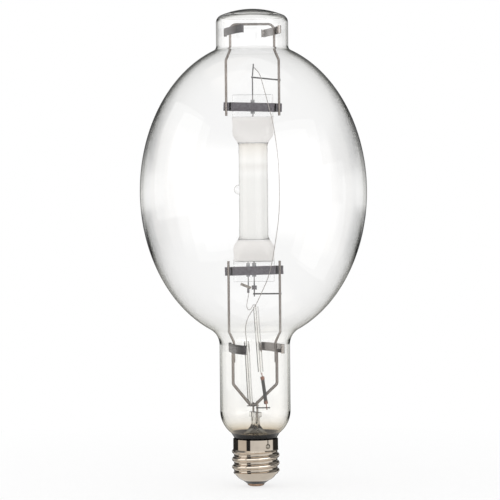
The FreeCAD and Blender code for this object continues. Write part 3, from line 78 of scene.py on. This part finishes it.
# The photograph's framing: pixels of a 500 pixel picture and millimetres.
PICTURE = 500.0
SCALE = 1.2187
CAMERA_DISTANCE = 1780.0
HORIZON_PIXEL = 200.0
FOOT_PIXEL = 485.6
AXIS_PIXEL = 253.5
LEAN = 0.507
SENSOR = 36

# Glass: refractive indices, and the share of light that a wall lets straight through.
BLOWN_GLASS_IOR = 1.45
QUARTZ_IOR = 1.46
STEM_IOR = 1.5
STEM_ROUGHNESS = 0.02
WALL_PASSES = (0.97, 0.97, 0.97)
EVEN_BLEND = 0.5

NONE = (0.0, 0.0, 0.0)
HALF = (0.5, 0.5, 0.5)
FULL = (1.0, 1.0, 1.0)

# The jacket: where it looks thicker by height, and by how much deeper its painted edge shade
# then goes.
THICKER = [(118.0, FULL), (140.0, NONE), (346.0, NONE), (360.0, HALF)]
THICKER_SPAN = (30.0, 400.0)
THICKER_SHARE = 0.10

# The jacket's tint and painted edge shade, from where it faces the view to where it is seen
# edge on.
JACKET_TINT_AND_EDGE_SHADE = [
    (0.0, (1.0, 1.0, 1.0)),
    (0.66, (1.0, 1.0, 0.995)),
    (0.74, (0.95, 0.952, 0.935)),
    (0.80, (0.86, 0.865, 0.83)),
    (0.85, (0.50, 0.505, 0.46)),
    (0.90, (0.38, 0.385, 0.34)),
    (1.0, (0.32, 0.325, 0.28)),
]

# The neck by height: painted shade at the seal, then a stain of amber haze that fades into the
# bulb.
NECK_HAZE_AND_SEAL_SHADE = [
    (43.4, (0.03, 0.029, 0.036)),
    (43.9, (0.60, 0.52, 0.41)),
    (46.0, (0.80, 0.74, 0.64)),
    (50.0, (0.93, 0.905, 0.855)),
    (57.0, (0.977, 0.97, 0.952)),
    (79.0, (0.985, 0.983, 0.972)),
    (120.0, (0.985, 0.983, 0.972)),
    (145.0, (1.0, 1.0, 1.0)),
]
NECK_HAZE_SPAN = (40.0, 150.0)

# The stem: heights between which its skirt turns dark with painted shade, its tints with that
# shade and its painted edge shade, and the sleeves' tints with their painted edge shade.
STEM_DARKENS = (42.0, 41.2)
STEM_PAINTED_SHADE = (0.045, 0.055, 0.08)
STEM_TINT_AND_EDGE_SHADE = [(0.5, (0.96, 0.955, 0.93)), (1.0, (0.35, 0.34, 0.29))]
SLEEVE_TINT_AND_EDGE_SHADE = [(0.55, (0.95, 0.95, 0.94)), (1.0, (0.45, 0.44, 0.43))]

# The arc tube by height: its milky bore, its two coated ends and the bore's colour, with a grey
# band a little below its top and a yellowish deposit at the top.
TUBE_SPAN = (164.0, 324.0)
TUBE_MILKY = [(202.0, NONE), (202.5, FULL), (280.5, FULL), (281.5, NONE)]
TUBE_COATED = [
    (184.0, NONE),
    (185.0, FULL),
    (201.0, FULL),
    (202.5, NONE),
    (280.5, NONE),
    (282.0, FULL),
    (301.8, FULL),
    (302.8, NONE),
]
TUBE_BORE_TONE = [
    (203.0, (0.85, 0.845, 0.82)),
    (256.0, (0.86, 0.855, 0.83)),
    (262.0, (0.77, 0.755, 0.72)),
    (266.0, (0.87, 0.86, 0.83)),
    (281.0, (0.84, 0.80, 0.73)),
]
TUBE_COAT = (0.80, 0.78, 0.76)
# The quartz's tint and painted edge shade, from where it faces the view to where it is seen
# edge on.
QUARTZ_TINT_AND_EDGE_SHADE = [
    (0.55, (0.97, 0.97, 0.97)),
    (0.75, (0.55, 0.54, 0.52)),
    (1.0, (0.12, 0.12, 0.12)),
]
QUARTZ_ROUGHNESS = 0.02
COAT_ROUGHNESS = 0.6
BORE_EDGE = (10.6, 10.5)

# Grain of the opaque finishes: the noise's scale, the share of the colour that its dark
# spots keep, the band of the noise over which they fade, and the strength of its relief.
METAL_GRAIN = (900.0, 0.6, (0.32, 0.62), 0.05)
PLATE_GRAIN = (160.0, 0.92, (0.32, 0.62), 0.008)
MATT_GRAIN = (600.0, 0.8, (0.35, 0.65), 0.1)
GRAIN_DETAIL = 4.0
RELIEF_DEPTH = 0.0002

# The leaf springs: darker on the lamp's left and bright on its right, partly heat stain, partly
# painted shade and painted reflection.
SPRING_ACROSS = (-14.0, 12.0)
SPRING_STAIN_AND_PAINTED_LIGHT = [
    (0.0, (0.07, 0.065, 0.07)),
    (0.5, (0.10, 0.095, 0.10)),
    (1.0, (0.50, 0.47, 0.45)),
]
SPRING_ROUGHNESS = 0.24


# nodes


def node(tree, kind, values=None, **settings):
    """A node with its settings, and with sockets given a starting value or another socket."""
    added = tree.nodes.new(kind)
    for key, setting in settings.items():
        setattr(added, key, setting)
    for socket, given in (values or {}).items():
        if isinstance(given, bpy.types.NodeSocket):
            tree.links.new(given, added.inputs[socket])
        else:
            added.inputs[socket].default_value = given
    return added


def opaque(colour):
    """A colour with full alpha, as sockets take it."""
    return (*colour, 1)


def combined(tree, operation, *operands):
    """The result of a Math node on sockets and numbers."""
    return node(
        tree, "ShaderNodeMath", dict(enumerate(operands)), operation=operation
    ).outputs["Value"]


def mapped(tree, source, start, end, first=0.0, last=1.0):
    """A socket's run from start to end as a run from first to last."""
    limits = {"From Min": start, "From Max": end, "To Min": first, "To Max": last}
    return node(tree, "ShaderNodeMapRange", {"Value": source, **limits}).outputs["Result"]


def mixed_colours(tree, share, first, second, kind="MIX"):
    """One colour laid over another by a share."""
    values = {"Fac": share, "Color1": first, "Color2": second}
    return node(tree, "ShaderNodeMixRGB", values, blend_type=kind).outputs["Color"]


def mixed_shaders(tree, share, first, second):
    """A shader between two others, by a share."""
    values = {"Fac": share, 1: first.outputs[0], 2: second.outputs[0]}
    return node(tree, "ShaderNodeMixShader", values)


def ramp(tree, source, stops, interpolation="LINEAR"):
    """A colour ramp fed by a socket, with stops of place and colour."""
    added = node(tree, "ShaderNodeValToRGB", {"Fac": source})
    added.color_ramp.interpolation = interpolation
    band = added.color_ramp.elements
    for element, (place, colour) in zip(band, (stops[0], stops[-1])):
        element.position = place
        element.color = opaque(colour)
    for place, colour in stops[1:-1]:
        band.new(place).color = opaque(colour)
    return added.outputs["Color"]


def own_place(tree):
    """The place of a point in the object's own space."""
    return node(tree, "ShaderNodeTexCoord").outputs["Object"]


def along(tree, axis, start, end):
    """A factor that runs from 0 to 1 between two places on an axis, in millimetres."""
    parts = node(tree, "ShaderNodeSeparateXYZ", {"Vector": own_place(tree)})
    return mapped(tree, parts.outputs[axis], start * MM, end * MM)


def height_ramp(tree, span, stops):
    """A colour ramp with stops of height in millimetres and colour, within a span."""
    low, high = span
    placed = [((height - low) / (high - low), colour) for height, colour in stops]
    return ramp(tree, along(tree, "Z", low, high), placed)


def length(tree, vector):
    return node(
        tree, "ShaderNodeVectorMath", {0: vector}, operation="LENGTH"
    ).outputs["Value"]


def edge_on(tree):
    """A factor that grows from a surface that faces the view to one seen edge on."""
    return node(tree, "ShaderNodeLayerWeight", {"Blend": EVEN_BLEND}).outputs["Facing"]


def noise(tree, scale):
    """Noise in the object's own space."""
    values = {"Vector": own_place(tree), "Scale": scale, "Detail": GRAIN_DETAIL}
    return node(tree, "ShaderNodeTexNoise", values).outputs["Fac"]


def relief(tree, height, strength):
    """A normal roughened by a height."""
    values = {"Strength": strength, "Distance": RELIEF_DEPTH, "Height": height}
    return node(tree, "ShaderNodeBump", values).outputs["Normal"]


# materials


def material(name):
    """An empty node material and its tree."""
    made = bpy.data.materials.new(name)
    made.use_nodes = True
    made.node_tree.nodes.clear()
    return made, made.node_tree


def finish(tree, shader):
    node(tree, "ShaderNodeOutputMaterial", {"Surface": shader.outputs[0]})


def grained(name, colour, roughness, metallic, grain):
    """An opaque finish, a little streaked and stained."""
    made, tree = material(name)
    scale, kept, (dark_end, bright_end), strength = grain
    spots = noise(tree, scale)
    worn = tuple(part * kept for part in colour)
    values = {
        "Base Color": ramp(tree, spots, [(dark_end, worn), (bright_end, colour)]),
        "Metallic": metallic,
        "Roughness": roughness,
        "Normal": relief(tree, spots, strength),
    }
    finish(tree, node(tree, "ShaderNodeBsdfPrincipled", values))
    return made


def metal(name, colour, roughness, grain=METAL_GRAIN):
    return grained(name, colour, roughness, 1.0, grain)


def matt(name, colour, roughness):
    return grained(name, colour, roughness, 0.0, MATT_GRAIN)


def spring_stain_and_painted_light():
    """The leaf springs' strip, darker on one side of the lamp and bright on the other: partly
    heat stain, partly painted shade and painted reflection.
    """
    made, tree = material("spring_steel")
    scale, _, _, strength = METAL_GRAIN
    # Colour across the lamp: painted shade on the left and painted reflection on the right,
    # over some heat stain.
    values = {
        "Base Color": ramp(tree, along(tree, "X", *SPRING_ACROSS), SPRING_STAIN_AND_PAINTED_LIGHT),
        "Metallic": 1.0,
        "Roughness": SPRING_ROUGHNESS,
        "Normal": relief(tree, noise(tree, scale), strength),
    }
    finish(tree, node(tree, "ShaderNodeBsdfPrincipled", values))
    return made


def glass(tree, tint, ior, roughness=0.0, clearness=1.0):
    """Glass of a tint. Its clearness is a socket where part of it is stained or coated."""
    values = {
        "Base Color": tint,
        "Roughness": roughness,
        "IOR": ior,
        "Transmission Weight": clearness,
    }
    return node(tree, "ShaderNodeBsdfPrincipled", values)


def let_light_in(tree, shader, tint=opaque(WALL_PASSES), clearness=None):
    """Let lamp light, and light scattered by the pieces inside, pass straight through glass."""
    rays = node(tree, "ShaderNodeLightPath").outputs
    passes = combined(tree, "MAXIMUM", rays["Is Shadow Ray"], rays["Is Reflection Ray"])
    if clearness is not None:
        passes = combined(tree, "MULTIPLY", passes, clearness)
    straight = node(tree, "ShaderNodeBsdfTransparent", {"Color": tint})
    return mixed_shaders(tree, passes, shader, straight)


def sleeve_glass():
    """The sleeves' clear glass, with painted shade where it is seen edge on."""
    made, tree = material("sleeve_glass")
    # Painted shade where the glass is seen edge on.
    tint = ramp(tree, edge_on(tree), SLEEVE_TINT_AND_EDGE_SHADE, "EASE")
    finish(tree, let_light_in(tree, glass(tree, tint, BLOWN_GLASS_IOR)))
    return made


def jacket_glass():
    """The jacket's clear glass, with amber haze where the neck was sealed to the base, painted
    shade at the seal and painted shade where it is seen edge on.
    """
    made, tree = material("jacket_glass")
    thick = height_ramp(tree, THICKER_SPAN, THICKER)
    # Painted shade where the glass is seen edge on, deeper where it looks thicker.
    deeper = combined(tree, "MULTIPLY_ADD", thick, THICKER_SHARE, edge_on(tree))
    # Amber haze stain, and painted shade at the seal.
    haze = height_ramp(tree, NECK_HAZE_SPAN, NECK_HAZE_AND_SEAL_SHADE)
    tint = mixed_colours(tree, 1.0, ramp(tree, deeper, JACKET_TINT_AND_EDGE_SHADE), haze, "MULTIPLY")
    finish(tree, let_light_in(tree, glass(tree, tint, BLOWN_GLASS_IOR), haze))
    return made


def quartz_glass():
    """The arc tube: clear pinches and wall with painted edge shade, white-coated ends and a
    milky bore.
    """
    made, tree = material("quartz")
    coated = height_ramp(tree, TUBE_SPAN, TUBE_COATED)
    flat = node(
        tree, "ShaderNodeMapping", {"Vector": own_place(tree), "Scale": (1.0, 1.0, 0.0)}
    )
    outer, inner = BORE_EDGE
    bore = mapped(tree, length(tree, flat.outputs["Vector"]), outer * MM, inner * MM)
    middle = height_ramp(tree, TUBE_SPAN, TUBE_MILKY)
    milky = combined(tree, "MULTIPLY", bore, middle)
    # Painted shade where the clear quartz is seen edge on.
    clear = ramp(tree, edge_on(tree), QUARTZ_TINT_AND_EDGE_SHADE)
    inside = mixed_colours(tree, milky, clear, height_ramp(tree, TUBE_SPAN, TUBE_BORE_TONE))
    tint = mixed_colours(tree, coated, inside, opaque(TUBE_COAT))
    dull = combined(tree, "MAXIMUM", milky, coated)
    rough = mapped(tree, dull, 0.0, 1.0, QUARTZ_ROUGHNESS, COAT_ROUGHNESS)
    clearness = mapped(tree, dull, 0.0, 1.0, 1.0, 0.0)
    shader = glass(tree, tint, QUARTZ_IOR, rough, clearness)
    finish(tree, let_light_in(tree, shader, clearness=clearness))
    return made


def stem_seal_glass():
    """The stem's clear glass, with painted shade low on its skirt by the cement and painted
    shade where it is seen edge on.
    """
    made, tree = material("stem_glass")
    # Painted shade low on the skirt.
    low = along(tree, "Z", *STEM_DARKENS)
    # Painted shade where the glass is seen edge on.
    edge = ramp(tree, edge_on(tree), STEM_TINT_AND_EDGE_SHADE)
    tint = mixed_colours(tree, low, edge, opaque(STEM_PAINTED_SHADE))
    clearness = mapped(tree, low, 0.0, 1.0, 1.0, 0.0)
    shader = glass(tree, tint, STEM_IOR, STEM_ROUGHNESS, clearness)
    finish(tree, let_light_in(tree, shader, clearness=clearness))
    return made


MATERIALS = {
    "clear_glass": jacket_glass(),
    "stem_glass": stem_seal_glass(),
    "sleeve_glass": sleeve_glass(),
    "quartz": quartz_glass(),
    "nickel_plate": metal("nickel_plate", (0.70, 0.62, 0.53), 0.045, PLATE_GRAIN),
    "black_glass": matt("black_glass", (0.03, 0.03, 0.035), 0.18),
    "solder_brass": metal("solder_brass", (0.42, 0.28, 0.20), 0.35),
    "cement": matt("cement", (0.16, 0.18, 0.22), 0.7),
    "tinned_wire": metal("tinned_wire", (0.30, 0.28, 0.26), 0.3),
    "solder": metal("solder", (0.42, 0.38, 0.32), 0.4),
    "bimetal": metal("bimetal", (0.34, 0.31, 0.28), 0.35),
    "switch_steel": metal("switch_steel", (0.20, 0.19, 0.20), 0.4),
    "resistor_coat": matt("resistor_coat", (0.032, 0.03, 0.03), 0.45),
    "copper_wire": metal("copper_wire", (0.32, 0.17, 0.13), 0.4),
    "dark_strap_steel": metal("dark_strap_steel", (0.165, 0.155, 0.17), 0.32),
    "spring_steel": spring_stain_and_painted_light(),
    "tungsten": metal("tungsten", (0.35, 0.35, 0.36), 0.4),
    "fine_wire": metal("fine_wire", (0.48, 0.45, 0.43), 0.3),
    "lead_metal": metal("lead_metal", (0.15, 0.145, 0.15), 0.35),
    "frame_steel": metal("frame_steel", (0.30, 0.27, 0.25), 0.3),
}

# Wires of the frame's steel that the photograph shows darker than the rest of the frame.
BLACKENED = ("upper_crossbar", "lower_crossbar", "field_crosswire", "resistor_crossbar")

for part in frame["record"]["subparts"]:
    held = NODES[part["node"]]
    held.data.materials.clear()
    slot = "lead_metal" if part["node"] in BLACKENED else part["material_slot"]
    held.data.materials.append(MATERIALS[slot])


# outer jacket


def arc_points(centre, radius, begin, end, count):
    """Points on an arc from one angle to another, both in radians."""
    return [
        (
            centre[0] + radius * math.cos(begin + (end - begin) * step / count),
            centre[1] + radius * math.sin(begin + (end - begin) * step / count),
        )
        for step in range(count + 1)
    ]


def fillet_on_bulb(side, centre_x, radius, depth):
    """The bulb's angle where a fillet meets it, and the fillet's centre."""
    width, height = BULB_HALF_WIDTH - depth, BULB_HALF_HEIGHT - depth
    low, high = FOOT_ANGLES
    for _ in range(HALVINGS):
        angle = (low + high) / 2
        outward = (math.cos(angle) / width, side * math.sin(angle) / height)
        size = math.hypot(*outward)
        x = width * math.cos(angle) + outward[0] / size * radius
        y = side * height * math.sin(angle) + outward[1] / size * radius
        if x > centre_x:
            low = angle
        else:
            high = angle
    return angle, (x, BULB_CENTRE + y)


def jacket_profile(depth):
    """Radius and height of one face of the glass, from the crown down to the seal."""
    corner_x = NOSE_RADIUS - CROWN_CORNER
    crown_z = TOP - CROWN_RADIUS
    spread = CROWN_RADIUS - CROWN_CORNER
    corner_z = crown_z + math.sqrt(spread**2 - corner_x**2)
    slope = math.atan2(corner_z - crown_z, corner_x)
    crown = (0, crown_z)
    points = arc_points(crown, CROWN_RADIUS - depth, math.pi / 2, slope, CROWN_STEPS)
    corner = (corner_x, corner_z)
    points += arc_points(corner, CROWN_CORNER - depth, slope, 0, CORNER_STEPS)
    width, height = BULB_HALF_WIDTH - depth, BULB_HALF_HEIGHT - depth
    nose_bend, neck_bend = NOSE_FILLET + depth, NECK_FILLET + depth
    above, nose = fillet_on_bulb(1, NOSE_RADIUS + NOSE_FILLET, nose_bend, depth)
    below, neck = fillet_on_bulb(-1, NECK_RADIUS + NECK_FILLET, neck_bend, depth)
    foot = (width * math.cos(above), BULB_CENTRE + height * math.sin(above))
    turn = math.atan2(foot[1] - nose[1], foot[0] - nose[0])
    points += arc_points(nose, nose_bend, math.pi, math.pi * 2 + turn, NOSE_STEPS)
    for step in range(1, BULB_STEPS):
        angle = above + (-below - above) * step / BULB_STEPS
        points.append((width * math.cos(angle), BULB_CENTRE + height * math.sin(angle)))
    foot = (width * math.cos(below), BULB_CENTRE - height * math.sin(below))
    turn = math.atan2(foot[1] - neck[1], foot[0] - neck[0])
    points += arc_points(neck, neck_bend, turn, math.pi, NECK_STEPS)
    drop = math.asin(SHOULDER_DROP / SHOULDER_RADIUS)
    centre = (NECK_RADIUS - SHOULDER_RADIUS, SHOULDER_HEIGHT)
    points += arc_points(centre, SHOULDER_RADIUS - depth, 0, -drop, SHOULDER_STEPS)
    points.append((SEAL_RADIUS - depth, SEAL_CONE_HEIGHT + depth * SEAL_CONE_SLOPE))
    points.append((SEAL_RADIUS - depth, SEAL_HEIGHT))
    return points


def lathe(name, profile, segments):
    """A profile of radius and height, with both its ends on the axis, taken round the axis."""
    points, faces, rings = [], [], []
    for radius, height in profile:
        first = len(points)
        if radius < ON_AXIS:
            points.append((0.0, 0.0, height * MM))
            rings.append([first])
            continue
        for step in range(segments):
            angle = math.tau * step / segments
            points.append((
                radius * math.cos(angle) * MM,
                radius * math.sin(angle) * MM,
                height * MM,
            ))
        rings.append(list(range(first, first + segments)))
    for here, after in zip(rings, rings[1:]):
        for step in range(segments):
            follow = (step + 1) % segments
            if len(here) == 1:
                faces.append((here[0], after[step], after[follow]))
            elif len(after) == 1:
                faces.append((here[step], after[0], here[follow]))
            else:
                faces.append((here[step], after[step], after[follow], here[follow]))
    mesh = bpy.data.meshes.new(name)
    mesh.from_pydata(points, [], faces)
    mesh.polygons.foreach_set("use_smooth", [True] * len(mesh.polygons))
    mesh.update()
    made = bpy.data.objects.new(name, mesh)
    bpy.context.scene.collection.objects.link(made)
    return made


jacket = lathe(
    "jacket_smooth",
    jacket_profile(0.0) + jacket_profile(GLASS_WALL)[::-1],
    JACKET_SEGMENTS,
)
jacket.data.materials.append(MATERIALS["clear_glass"])
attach(jacket, "lamp")
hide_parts("outer_jacket")


# stage

# The floor, in metres: its half side, how far it lies below the lamp, and how its own glow
# gives way to real shade near the lamp.
FLOOR_HALF_SIDE = 40.0
FLOOR_DROP = 0.0005
SHADED_REACH = (0.05, 0.5)
GLOW_NEAR_LAMP = 0.72
FLOOR_PAINT = (0.9, 0.9, 0.9)

# Soft boxes: azimuth in degrees, distance, height, width and tallness in metres, strength.
SOFT_BOXES = {
    "left_box": (-74, 1.3, 0.55, 1.0, 1.2, 0.9),
    "right_box": (38, 1.5, 0.6, 1.3, 1.2, 0.9),
}
AIM = Vector((0, 0, 0.22))


def grey(level):
    return (level, level * 0.995, level * 0.99)


def warm(level):
    return (level, level * 0.93, level * 0.85)


# What reflections see of the room, in degrees round from the photograph's side: at the
# screw shell's height, just above it, and higher up.
ROUND_THE_SHELL = [
    (-180, grey(0.03)),
    (-104, grey(0.03)),
    (-100, warm(0.72)),
    (-50, warm(0.72)),
    (-47, grey(0.02)),
    (-29, grey(0.02)),
    (-26, grey(0.80)),
    (96, grey(0.88)),
    (102, grey(0.03)),
    (180, grey(0.03)),
]
ROUND_THE_BULB = [
    (-180, grey(0.10)),
    (-166, grey(0.10)),
    (-158, grey(0.80)),
    (-104, grey(0.80)),
    (-100, warm(0.80)),
    (-50, warm(0.80)),
    (-47, grey(1.0)),
    (74, grey(1.0)),
    (78, grey(0.20)),
    (100, grey(0.20)),
    (104, grey(0.80)),
    (158, grey(0.80)),
    (166, grey(0.10)),
    (180, grey(0.10)),
]
ROUND_ABOVE = [
    (-180, grey(0.05)),
    (-104, grey(0.05)),
    (-100, warm(0.80)),
    (-50, warm(0.80)),
    (-46, grey(0.95)),
    (72, grey(0.95)),
    (76, grey(0.05)),
    (180, grey(0.05)),
]
WINDOW_AROUND = [(-48, grey(0.0)), (-46, grey(1.0)), (70, grey(1.0)), (76, grey(0.0))]

# How high each of them reaches, where 0 is straight down, 0.5 the horizon and 1 straight up.
SHELL_TO_BULB = [(0.448, grey(0.0)), (0.468, grey(1.0))]
BULB_TO_ABOVE = [(0.50, grey(0.0)), (0.60, grey(1.0))]
WINDOW_RISE = [(0.55, grey(0.0)), (0.59, grey(1.0)), (0.66, grey(1.0)), (0.70, grey(0.0))]
CEILING_RISE = [(0.70, grey(0.0)), (0.74, grey(1.0)), (0.90, grey(1.0)), (0.93, grey(0.0))]
SKIRT_RISE = [(0.30, grey(1.0)), (0.36, grey(0.0))]

WINDOW_LIGHT = (1.9, 1.9, 1.9)
CEILING_LIGHT = (0.22, 0.22, 0.22)
SKIRT_LIGHT = (0.72, 0.71, 0.69)
ROOM_LIGHT = (0.9, 0.9, 0.9)


def seen_rays(tree, rays):
    """1 for rays from the camera, straight or through glass."""
    return combined(tree, "MAXIMUM", rays["Is Camera Ray"], rays["Is Transmission Ray"])


def studio_floor():
    """A floor that shows white to the camera, greyer by the lamp, and not to mirrored rays."""
    mesh = bpy.data.meshes.new("floor")
    side = FLOOR_HALF_SIDE
    corners = [(-side, -side, 0), (side, -side, 0), (side, side, 0), (-side, side, 0)]
    mesh.from_pydata(corners, [], [(0, 1, 2, 3)])
    floor = bpy.data.objects.new("floor", mesh)
    bpy.context.scene.collection.objects.link(floor)
    floor.location.z = -FLOOR_DROP
    made, tree = material("floor_paint")
    reach = mapped(tree, length(tree, own_place(tree)), *SHADED_REACH)
    share = mapped(tree, reach, 0.0, 1.0, GLOW_NEAR_LAMP, 1.0)
    paint = node(tree, "ShaderNodeBsdfDiffuse", {"Color": opaque(FLOOR_PAINT)})
    glow = node(tree, "ShaderNodeEmission", {"Color": opaque(FULL), "Strength": 1.0})
    rays = node(tree, "ShaderNodeLightPath").outputs
    amount = combined(tree, "MULTIPLY", seen_rays(tree, rays), share)
    shown = mixed_shaders(tree, amount, paint, glow)
    mirror = combined(tree, "MULTIPLY", rays["Is Glossy Ray"], rays["Is Reflection Ray"])
    nothing = node(tree, "ShaderNodeBsdfTransparent")
    finish(tree, mixed_shaders(tree, mirror, shown, nothing))
    floor.data.materials.append(made)


def reflected_room(tree):
    """The room that reflections see: soft boxes and dark gaps, a window, ceiling and skirt."""
    place = node(tree, "ShaderNodeTexCoord").outputs["Generated"]
    parts = node(tree, "ShaderNodeSeparateXYZ", {"Vector": place}).outputs
    front = combined(tree, "MULTIPLY", parts["Y"], -1.0)
    turn = combined(tree, "ARCTAN2", parts["X"], front)
    around = mapped(tree, turn, -math.pi, math.pi)
    rise = mapped(tree, parts["Z"], -1.0, 1.0)

    def round_the_lamp(stops):
        return ramp(tree, around, [(0.5 + degrees / 360, light) for degrees, light in stops])

    def by_rise(stops):
        return ramp(tree, rise, stops)

    room = mixed_colours(
        tree,
        by_rise(SHELL_TO_BULB),
        round_the_lamp(ROUND_THE_SHELL),
        round_the_lamp(ROUND_THE_BULB),
    )
    room = mixed_colours(tree, by_rise(BULB_TO_ABOVE), room, round_the_lamp(ROUND_ABOVE))
    across = round_the_lamp(WINDOW_AROUND)
    window = mixed_colours(tree, 1.0, by_rise(WINDOW_RISE), across, "MULTIPLY")
    room = mixed_colours(tree, window, room, opaque(WINDOW_LIGHT))
    room = mixed_colours(tree, by_rise(CEILING_RISE), room, opaque(CEILING_LIGHT))
    return mixed_colours(tree, by_rise(SKIRT_RISE), room, opaque(SKIRT_LIGHT))


def studio_world():
    """A white room to look at, with soft boxes and dark gaps for the reflections."""
    world = bpy.data.worlds.new("studio")
    bpy.context.scene.world = world
    world.use_nodes = True
    tree = world.node_tree
    tree.nodes.clear()
    rays = node(tree, "ShaderNodeLightPath").outputs
    lit = mixed_colours(
        tree, rays["Is Glossy Ray"], opaque(ROOM_LIGHT), reflected_room(tree)
    )
    shown = mixed_colours(tree, seen_rays(tree, rays), lit, opaque(FULL))
    light = node(tree, "ShaderNodeBackground", {"Color": shown, "Strength": 1.0})
    node(tree, "ShaderNodeOutputWorld", {"Surface": light.outputs["Background"]})


def photo_camera():
    """The camera at the photograph's height, distance and slight lean."""
    camera = bpy.data.objects.new("camera", bpy.data.cameras.new("camera"))
    bpy.context.scene.collection.objects.link(camera)
    bpy.context.scene.camera = camera
    height = (FOOT_PIXEL - HORIZON_PIXEL) / SCALE
    camera.location = (0, -CAMERA_DISTANCE * MM, height * MM)
    camera.rotation_euler = (math.radians(90), math.radians(LEAN), 0)
    camera.data.sensor_width = SENSOR
    camera.data.lens = SENSOR * CAMERA_DISTANCE * SCALE / PICTURE
    camera.data.shift_x = (PICTURE / 2 - AXIS_PIXEL) / PICTURE
    camera.data.shift_y = (HORIZON_PIXEL - PICTURE / 2) / PICTURE


def soft_box(name, azimuth, distance, height, width, tall, strength):
    """A large soft lamp that faces the arc tube from a side, given in degrees and metres."""
    light = bpy.data.lights.new(name, "AREA")
    light.shape = "RECTANGLE"
    light.size = width
    light.size_y = tall
    light.energy = strength * width * tall * math.pi
    box = bpy.data.objects.new(name, light)
    bpy.context.scene.collection.objects.link(box)
    turn = math.radians(azimuth)
    box.location = (distance * math.sin(turn), -distance * math.cos(turn), height)
    box.rotation_euler = (AIM - box.location).to_track_quat("-Z", "Y").to_euler()


studio_floor()
studio_world()
for name, placing in SOFT_BOXES.items():
    soft_box(name, *placing)
photo_camera()
bpy.context.scene.view_settings.view_transform = "Standard"
